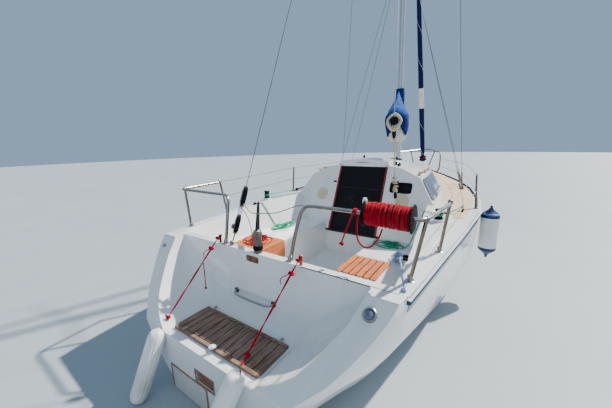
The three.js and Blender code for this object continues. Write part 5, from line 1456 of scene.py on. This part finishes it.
def cover_surface(start, stop, rows, cols, shrink, folds, low=1.0, end=COVER_END):
    """The stowed sail's skin: half |cos a|^p across, up or down times sin a, pinched at its top.

    The power p falls from 0.84 above to 0.34 below, so that the sides hang straight.

    Folds run along it as sin(a n + x m), each tie draws it in by 1 - d exp(-(x / w)^2), and its aft
    end closes like a bag, as the square root of 1 - s^2 over its last stretch.
    """
    x = np.linspace(COVER_START, end, rows)[:, None]
    a = np.linspace(start, stop, cols)[None]
    half, up, down = (np.interp(x, COVER[:, 0], COVER[:, k]) for k in (1, 2, 3))
    above = np.sin(a)
    rise = down * low + (up - down * low) / (1 + np.exp(-14 * above))
    pinch = 1 - 0.5 * np.clip(above, 0, 1) ** 3 * np.interp(up, (0.12, 0.28), (0.3, 1.0))
    bag = np.clip((end + 0.16 - x) / 0.16, 0, 1)
    draw = 1 - sum(0.05 * np.exp(-((x - at) / 0.035) ** 2) for at in TIES)
    size = shrink * draw * (0.36 + 0.64 * np.sqrt(1 - 0.999 * bag ** 2.6))
    crease = folds * (np.sin(5 * a + 9 * x) * 0.5 + np.sin(11 * a - 23 * x + 2 * np.sin(3 * a)) * 0.3
                      + np.sin(31 * x + 4 * a) * 0.35)
    across = signed(np.cos(a), 0.34 + 0.5 / (1 + np.exp(-9 * above)))
    drift = -0.02 * np.clip((-0.6 - x) / 1.2, 0, 1)
    return xyz(x, (half * size + crease) * across * pinch + drift, above * (rise * size + crease))


def widest(skin):
    """The length of a grid's longest row."""
    return float(np.linalg.norm(np.diff(skin, axis=1), axis=2).sum(1).max())


def sheet(name, node, skin, thick, uv, body):
    """A canvas piece from a grid of points."""
    cloth = fit(name, shell_shape(skin, thick), "canvas", body, node, 80, True,
                uv=np.concatenate([uv, uv]))


class YACHT_OT_stow_sail(bpy.types.Operator):
    """Stow the mainsail: the white bundle on the boom, its navy cover over it, the mast's boot"""
    bl_idname = "yacht.stow_sail"
    bl_label = "Mainsail and cover"

    def execute(self, context):
        bundle = cover_surface(0, 2 * pi, 90, 65, 0.94, 0.006, 1.3, -2.07)[:, -2::-1]
        fit("mainsail_bundle", capped(boom_place(bundle)), "sailcloth", "boom", smooth=70, recalc=True)
        skin = boom_place(cover_surface(radians(-62), radians(242), 150, 70, 0.99, 0.005))
        spine = lengths(skin[:, 35])
        sheet("mainsail_cover", "sail_cover", skin, 0.0018,
              grid_uv(lengths(skin[40])[None], spine[:, None]), "boom")
        self.boot()
        rings = boom_place(cover_surface(radians(-60), radians(240), 400, 60, 1.02, 0.005))
        rows = [int(round((COVER_START - at) / (COVER_START - COVER_END) * 399)) for at in TIES]
        fit("cover_ties", [tube_shape(rings[row], 0.0024, 8) for row in rows], "white_rope", "boom",
            smooth=60)
        self.boom_end()
        return {"FINISHED"}

    def boot(self):
        """The boot laced round the mast over the gooseneck, open by a finger's width at the front"""
        z = np.linspace(0.713, 1.153, 44)[:, None]
        a = np.linspace(radians(4), radians(356), 72)[None]
        fold = 0.0016 * np.sin(13 * a + 21 * z) + 0.0022 * np.sin(5 * a - 34 * z) + 0.0012 * np.sin(60 * z)
        r = np.maximum(np.interp(z, (0.713, 0.963, 1.153), (0.079, 0.078, 0.071)) + fold - 0.002, 0.0518)
        skin = rig_place(xyz(r * np.cos(a), r * np.sin(a) * 0.89, z))
        girth = widest(skin)
        sheet("mast_boot", "mast_cover", skin, 0.0016, grid_uv(np.linspace(0, girth, 72)[None], z),
              "root")

    def boom_end(self):
        """The boom's end plug, and the cream strop hitched round it that the mainsheet hangs from"""
        end = boom_place((-2.2305, 0, 0))
        plug = [(0.0375, -0.004), (0.0375, 0.003), (0.034, 0.008), (0.024, 0.010), (0.0, 0.0105)]
        fit("boom_end_plug", turned_shape(plug, end, end - boom_place((-2.0, 0, 0)), 40), "black", "boom")
        a = np.linspace(0, 2 * pi, 90)
        strops = []
        for x, grow, lean in ((-2.222, 1.0, 0.0), (-2.205, 0.95, 0.12), (-2.188, 1.04, -0.1)):
            above = 0.062 * grow * signed(np.sin(a), 1.35)
            above = np.where(above < 0, above * 1.35, above)
            loop = xyz(x + 0.004 * np.sin(3 * a), 0.060 * grow * signed(np.cos(a), 1.35) + lean * above,
                       above)
            strops.append(tube_shape(boom_place(loop), 0.0115, 10, dome=False))
        fit("boom_end_strop", strops, "strop", "boom", smooth=60)


STAY_FOOT = np.array((5.5, 0.0, 1.21))
STAY_HEAD = rig_place((0, 0, 5.24)) + 0.068 * X
# The roll up the stay: height and radius, then where it ends below the stay's head, and the
# height in which its edge goes round once
ROLL = points((190, 30), (330, 46), (1400, 52), (3000, 40))
ROLL_TOP = 0.42
ROLL_PITCH = 0.62


class YACHT_OT_roll_jib(bpy.types.Operator):
    """Roll the jib on its stay: navy edge cloth, a cream stretch, a spiral edge, the furling drum"""
    bl_idname = "yacht.roll_jib"
    bl_label = "Rolled jib"

    def execute(self, context):
        side, across, axis = square(STAY_HEAD - STAY_FOOT, Y)
        top = np.linalg.norm(STAY_HEAD - STAY_FOOT) - ROLL_TOP

        def wound(h, r, a):
            """Points round the stay at a height."""
            return circle(STAY_FOOT + axis * h[..., None], r, a, side, across)

        def girth(h):
            """The roll's radius at a height."""
            return np.interp(h, np.append(ROLL[:, 0], top), np.append(ROLL[:, 1], 0.020))

        a = around(40)[None]
        for name, low, high, finish in (("navy_low", 0.19, 1.30, "jib_canvas"),
                                        ("cream", 1.30, 1.70, "sailcloth"),
                                        ("navy_high", 1.70, top, "jib_canvas")):
            h = np.linspace(low, high, int((high - low) / 0.02) + 2)[:, None]
            lap = 0.045 * ((a / (2 * pi) + h / ROLL_PITCH) % 1.0) ** 3
            r = girth(h) * (0.955 + lap + 0.012 * np.sin(3 * a + 17 * h) * np.sin(9 * h))
            fit("rolled_jib_" + name, capped(wound(h, r, a)), finish, "jib_roll",
                "furled_jib" if name == "navy_low" else "", 60, uv=grid_uv(a * 0.05, h))
        h = np.linspace(0.25, top - 0.1, 700)
        seam = wound(h, girth(h), -2 * pi * h / ROLL_PITCH)
        fit("jib_spiral_edge", tube_shape(seam, 0.0022, 8), "white_rope", "jib_roll", smooth=60)
        drum = [(0.012, 0.100), (0.030, 0.100), (0.072, 0.108), (0.078, 0.114), (0.078, 0.124),
                (0.072, 0.130), (0.040, 0.132), (0.040, 0.176), (0.072, 0.178), (0.078, 0.181),
                (0.076, 0.187), (0.030, 0.190), (0.012, 0.190)]
        fit("furling_drum", turned_shape(drum, STAY_FOOT, axis, 44), "black", "jib_roll")
        t = np.linspace(0, 9 * 2 * pi, 260)
        rise = 0.1365 + 0.0345 * np.abs(((t / (2 * pi * 4.5)) % 2) - 1)
        coil = wound(rise, 0.0435 + 0.0052 * (t > 4.5 * 2 * pi), t)
        rope_piece("drum_line", coil, 0.0028, "red_rope", 8, "jib_roll")
        return {"FINISHED"}


class YACHT_OT_reeve_tackles(bpy.types.Operator):
    """Reeve the mainsheet and the backstay's tackle, and put the rigging screws on"""
    bl_idname = "yacht.reeve_tackles"
    bl_label = "Tackles and screws"

    def execute(self, context):
        boom_end = boom_place((-2.19, 0, -0.062))
        foot = np.array((BULKHEAD_X + LEAN * (1.0 - SILL_Z) - 0.026, -0.507, 1.0))
        side, _, axis = turned = self.axes(boom_end - foot, X)
        low, high = foot + axis * 0.20, boom_end - axis * 0.06
        lines = [rod(low + side * a, high - side * a, 0.0036, 8, 0.03)
                 for a in (-0.013, -0.005, 0.004, 0.012)]
        t = np.linspace(0, 10 * pi, 260)
        bundle = xyz(0.022 * np.cos(t) + 0.007 * np.sin(0.3 * t),
                     0.017 * np.sin(t) + 0.008 * np.sin(0.43 * t), 0.0062 * t)
        lines.append(set_in(tube_shape(bundle, 0.0048, 8), foot + axis * 0.225, turned))
        lines.append(rod(foot, low, 0.006, 8))
        fit("mainsheet_falls", lines, "strop", replaces="mainsheet", smooth=60, recalc=True)
        pin = [(0.008, 0.0), (0.008, 0.003), (0.004, 0.004)]
        block = joined([block_shape((0, 0, 0), (0.015, 0.026, 0.044), 0.55),
                        *[turned_shape(pin, s * 0.0112 * X, s * X, 16) for s in (-1, 1)]])
        ring = tube_shape(circle(0.0, 0.036, np.linspace(0, 2 * pi, 40)), 0.006, 10)
        blocks = [set_in(block, at, turned) for at in (low, high)]
        blocks += [turned_shape([(0.016, 0.0), (0.021, 0.008), (0.021, 0.030), (0.015, 0.040)], foot,
                                axis, 24),
                   rod(foot + LEAN_OUT * 0.006, foot + (0.042, 0, 0.004), 0.010, 14, 0.01),
                   set_in(ring, foot + axis * 0.37, turned)]
        fit("mainsheet_blocks", blocks, "black", recalc=True)
        self.backstay()
        self.screws()
        return {"FINISHED"}

    def axes(self, direction, hint):
        """A tackle's axes: its side, its fore side and its own direction.

        They are left-handed and mirror what is set in them, so its faces are turned out again.
        """
        axis = unit(direction)
        side = unit(np.cross(axis, hint))
        return np.stack([side, np.cross(side, axis), axis])

    def backstay(self):
        """The backstay's two blocks, the lines between them, its wire and its foot"""
        foot = points(36, 303, 970)
        head = rig_place((-0.124, 0, 6.908))
        side, _, axis = turned = self.axes(head - foot, (0.4, 1, 0))
        blocks, straps = [], [rod(foot + axis * 0.005, foot + axis * 0.13, 0.006, 12),
                              foot_plate(foot + 0.0006 * Z, 0.026)]
        for low, high, wide in ((0.105, 0.245, 0.026), (0.335, 0.49, 0.028)):
            at, half = foot + axis * (low + high) / 2, (high - low) / 2
            blocks.append(set_in(block_shape((0, 0, 0), (0.019, wide, half), 0.5), at, turned))
            straps.append(set_in(block_shape((0, 0, 0), (0.0205, 0.007, half + 0.014), 0.4, sides=24),
                                 at, turned))
        fit("backstay_blocks", blocks, "black", recalc=True)
        fit("backstay_straps", straps, "dull_steel", recalc=True)
        fit("backstay_wire", rod(foot + axis * 0.48, head, 0.0032, 10, 0.1), "wire",
            replaces="backstay", smooth=60)
        fit("backstay_falls", [rod(foot + axis * 0.21 + side * s * 0.016,
                                   foot + axis * 0.35 + side * s * 0.016, 0.003, 8)
                               for s in (-1, -0.35, 0.35, 1)], "blue_rope", smooth=60)
        cam = block_shape((0.024, 0.012, 0), (0.014, 0.010, 0.02), 0.4, sides=20)
        fit("backstay_cam", set_in(cam, foot + axis * 0.15, turned), "dull_steel", recalc=True)

    def screws(self):
        """Rigging screws at the shrouds' feet: an open body between two threaded ends"""
        body = [(0.0085, 0.02), (0.0105, 0.035), (0.0115, 0.05), (0.0095, 0.07), (0.0095, 0.15),
                (0.0115, 0.17), (0.0105, 0.185), (0.0055, 0.20), (0.0045, 0.27)]
        for name, side in SIDES:
            shapes = []
            for foot, head in (((3.215, 1.045, 1.078), (-0.020, 0.044, 3.060)),
                               ((3.400, 1.020, 1.078), (-0.150, 0.708, 3.195)),
                               ((3.590, 0.975, 1.078), (0.020, 0.044, 3.060))):
                low, top = np.array(foot) * (1, side, 1), rig_place(np.array(head) * (1, side, 1))
                shapes.append(turned_shape(body, low, top - low, 18))
                shapes.append(block_shape(low + 0.012 * Z, (0.012, 0.010, 0.018), 0.5, sides=20))
            fit("rigging_screws_" + name, shapes, "steel")


OPERATORS = (
    YACHT_OT_set_stage, YACHT_OT_lay_ropes, YACHT_OT_finish_solids, YACHT_OT_mould_shell,
    YACHT_OT_fit_stern, YACHT_OT_hang_fenders, YACHT_OT_line_hull, YACHT_OT_bend_rails,
    YACHT_OT_wind_reel, YACHT_OT_set_winches, YACHT_OT_fit_steering, YACHT_OT_fit_cabin,
    YACHT_OT_stow_sail, YACHT_OT_roll_jib, YACHT_OT_reeve_tackles,
)


class YACHT_PT_panel(bpy.types.Panel):
    """The yacht's pieces and settings in the sidebar"""
    bl_label = "Sailing yacht"
    bl_idname = "YACHT_PT_panel"
    bl_space_type = "VIEW_3D"
    bl_region_type = "UI"
    bl_category = "Yacht"

    def draw(self, context):
        for settings in GROUPS:
            group = getattr(context.scene, settings)
            box = self.layout.box()
            for key in group.bl_rna.properties.keys():
                if key not in ("rna_type", "name"):
                    box.prop(group, key)
        column = self.layout.column(align=True)
        for operator in OPERATORS:
            column.operator(operator.bl_idname)


GROUPS = {"yacht_colours": YACHT_PG_colours, "yacht_sizes": YACHT_PG_sizes,
          "yacht_view": YACHT_PG_view}
CLASSES = (*GROUPS.values(), *OPERATORS, YACHT_PT_panel)


def register():
    for cls in CLASSES:
        bpy.utils.register_class(cls)
    for name, cls in GROUPS.items():
        setattr(bpy.types.Scene, name, bpy.props.PointerProperty(type=cls))


def unregister():
    for name in GROUPS:
        delattr(bpy.types.Scene, name)
    for cls in reversed(CLASSES):
        bpy.utils.unregister_class(cls)


def main():
    register()
    FINISH.update(make_finishes())
    for operator in OPERATORS:
        group, call = operator.bl_idname.split(".")
        getattr(getattr(bpy.ops, group), call)()


if __name__ == "__main__":
    main()
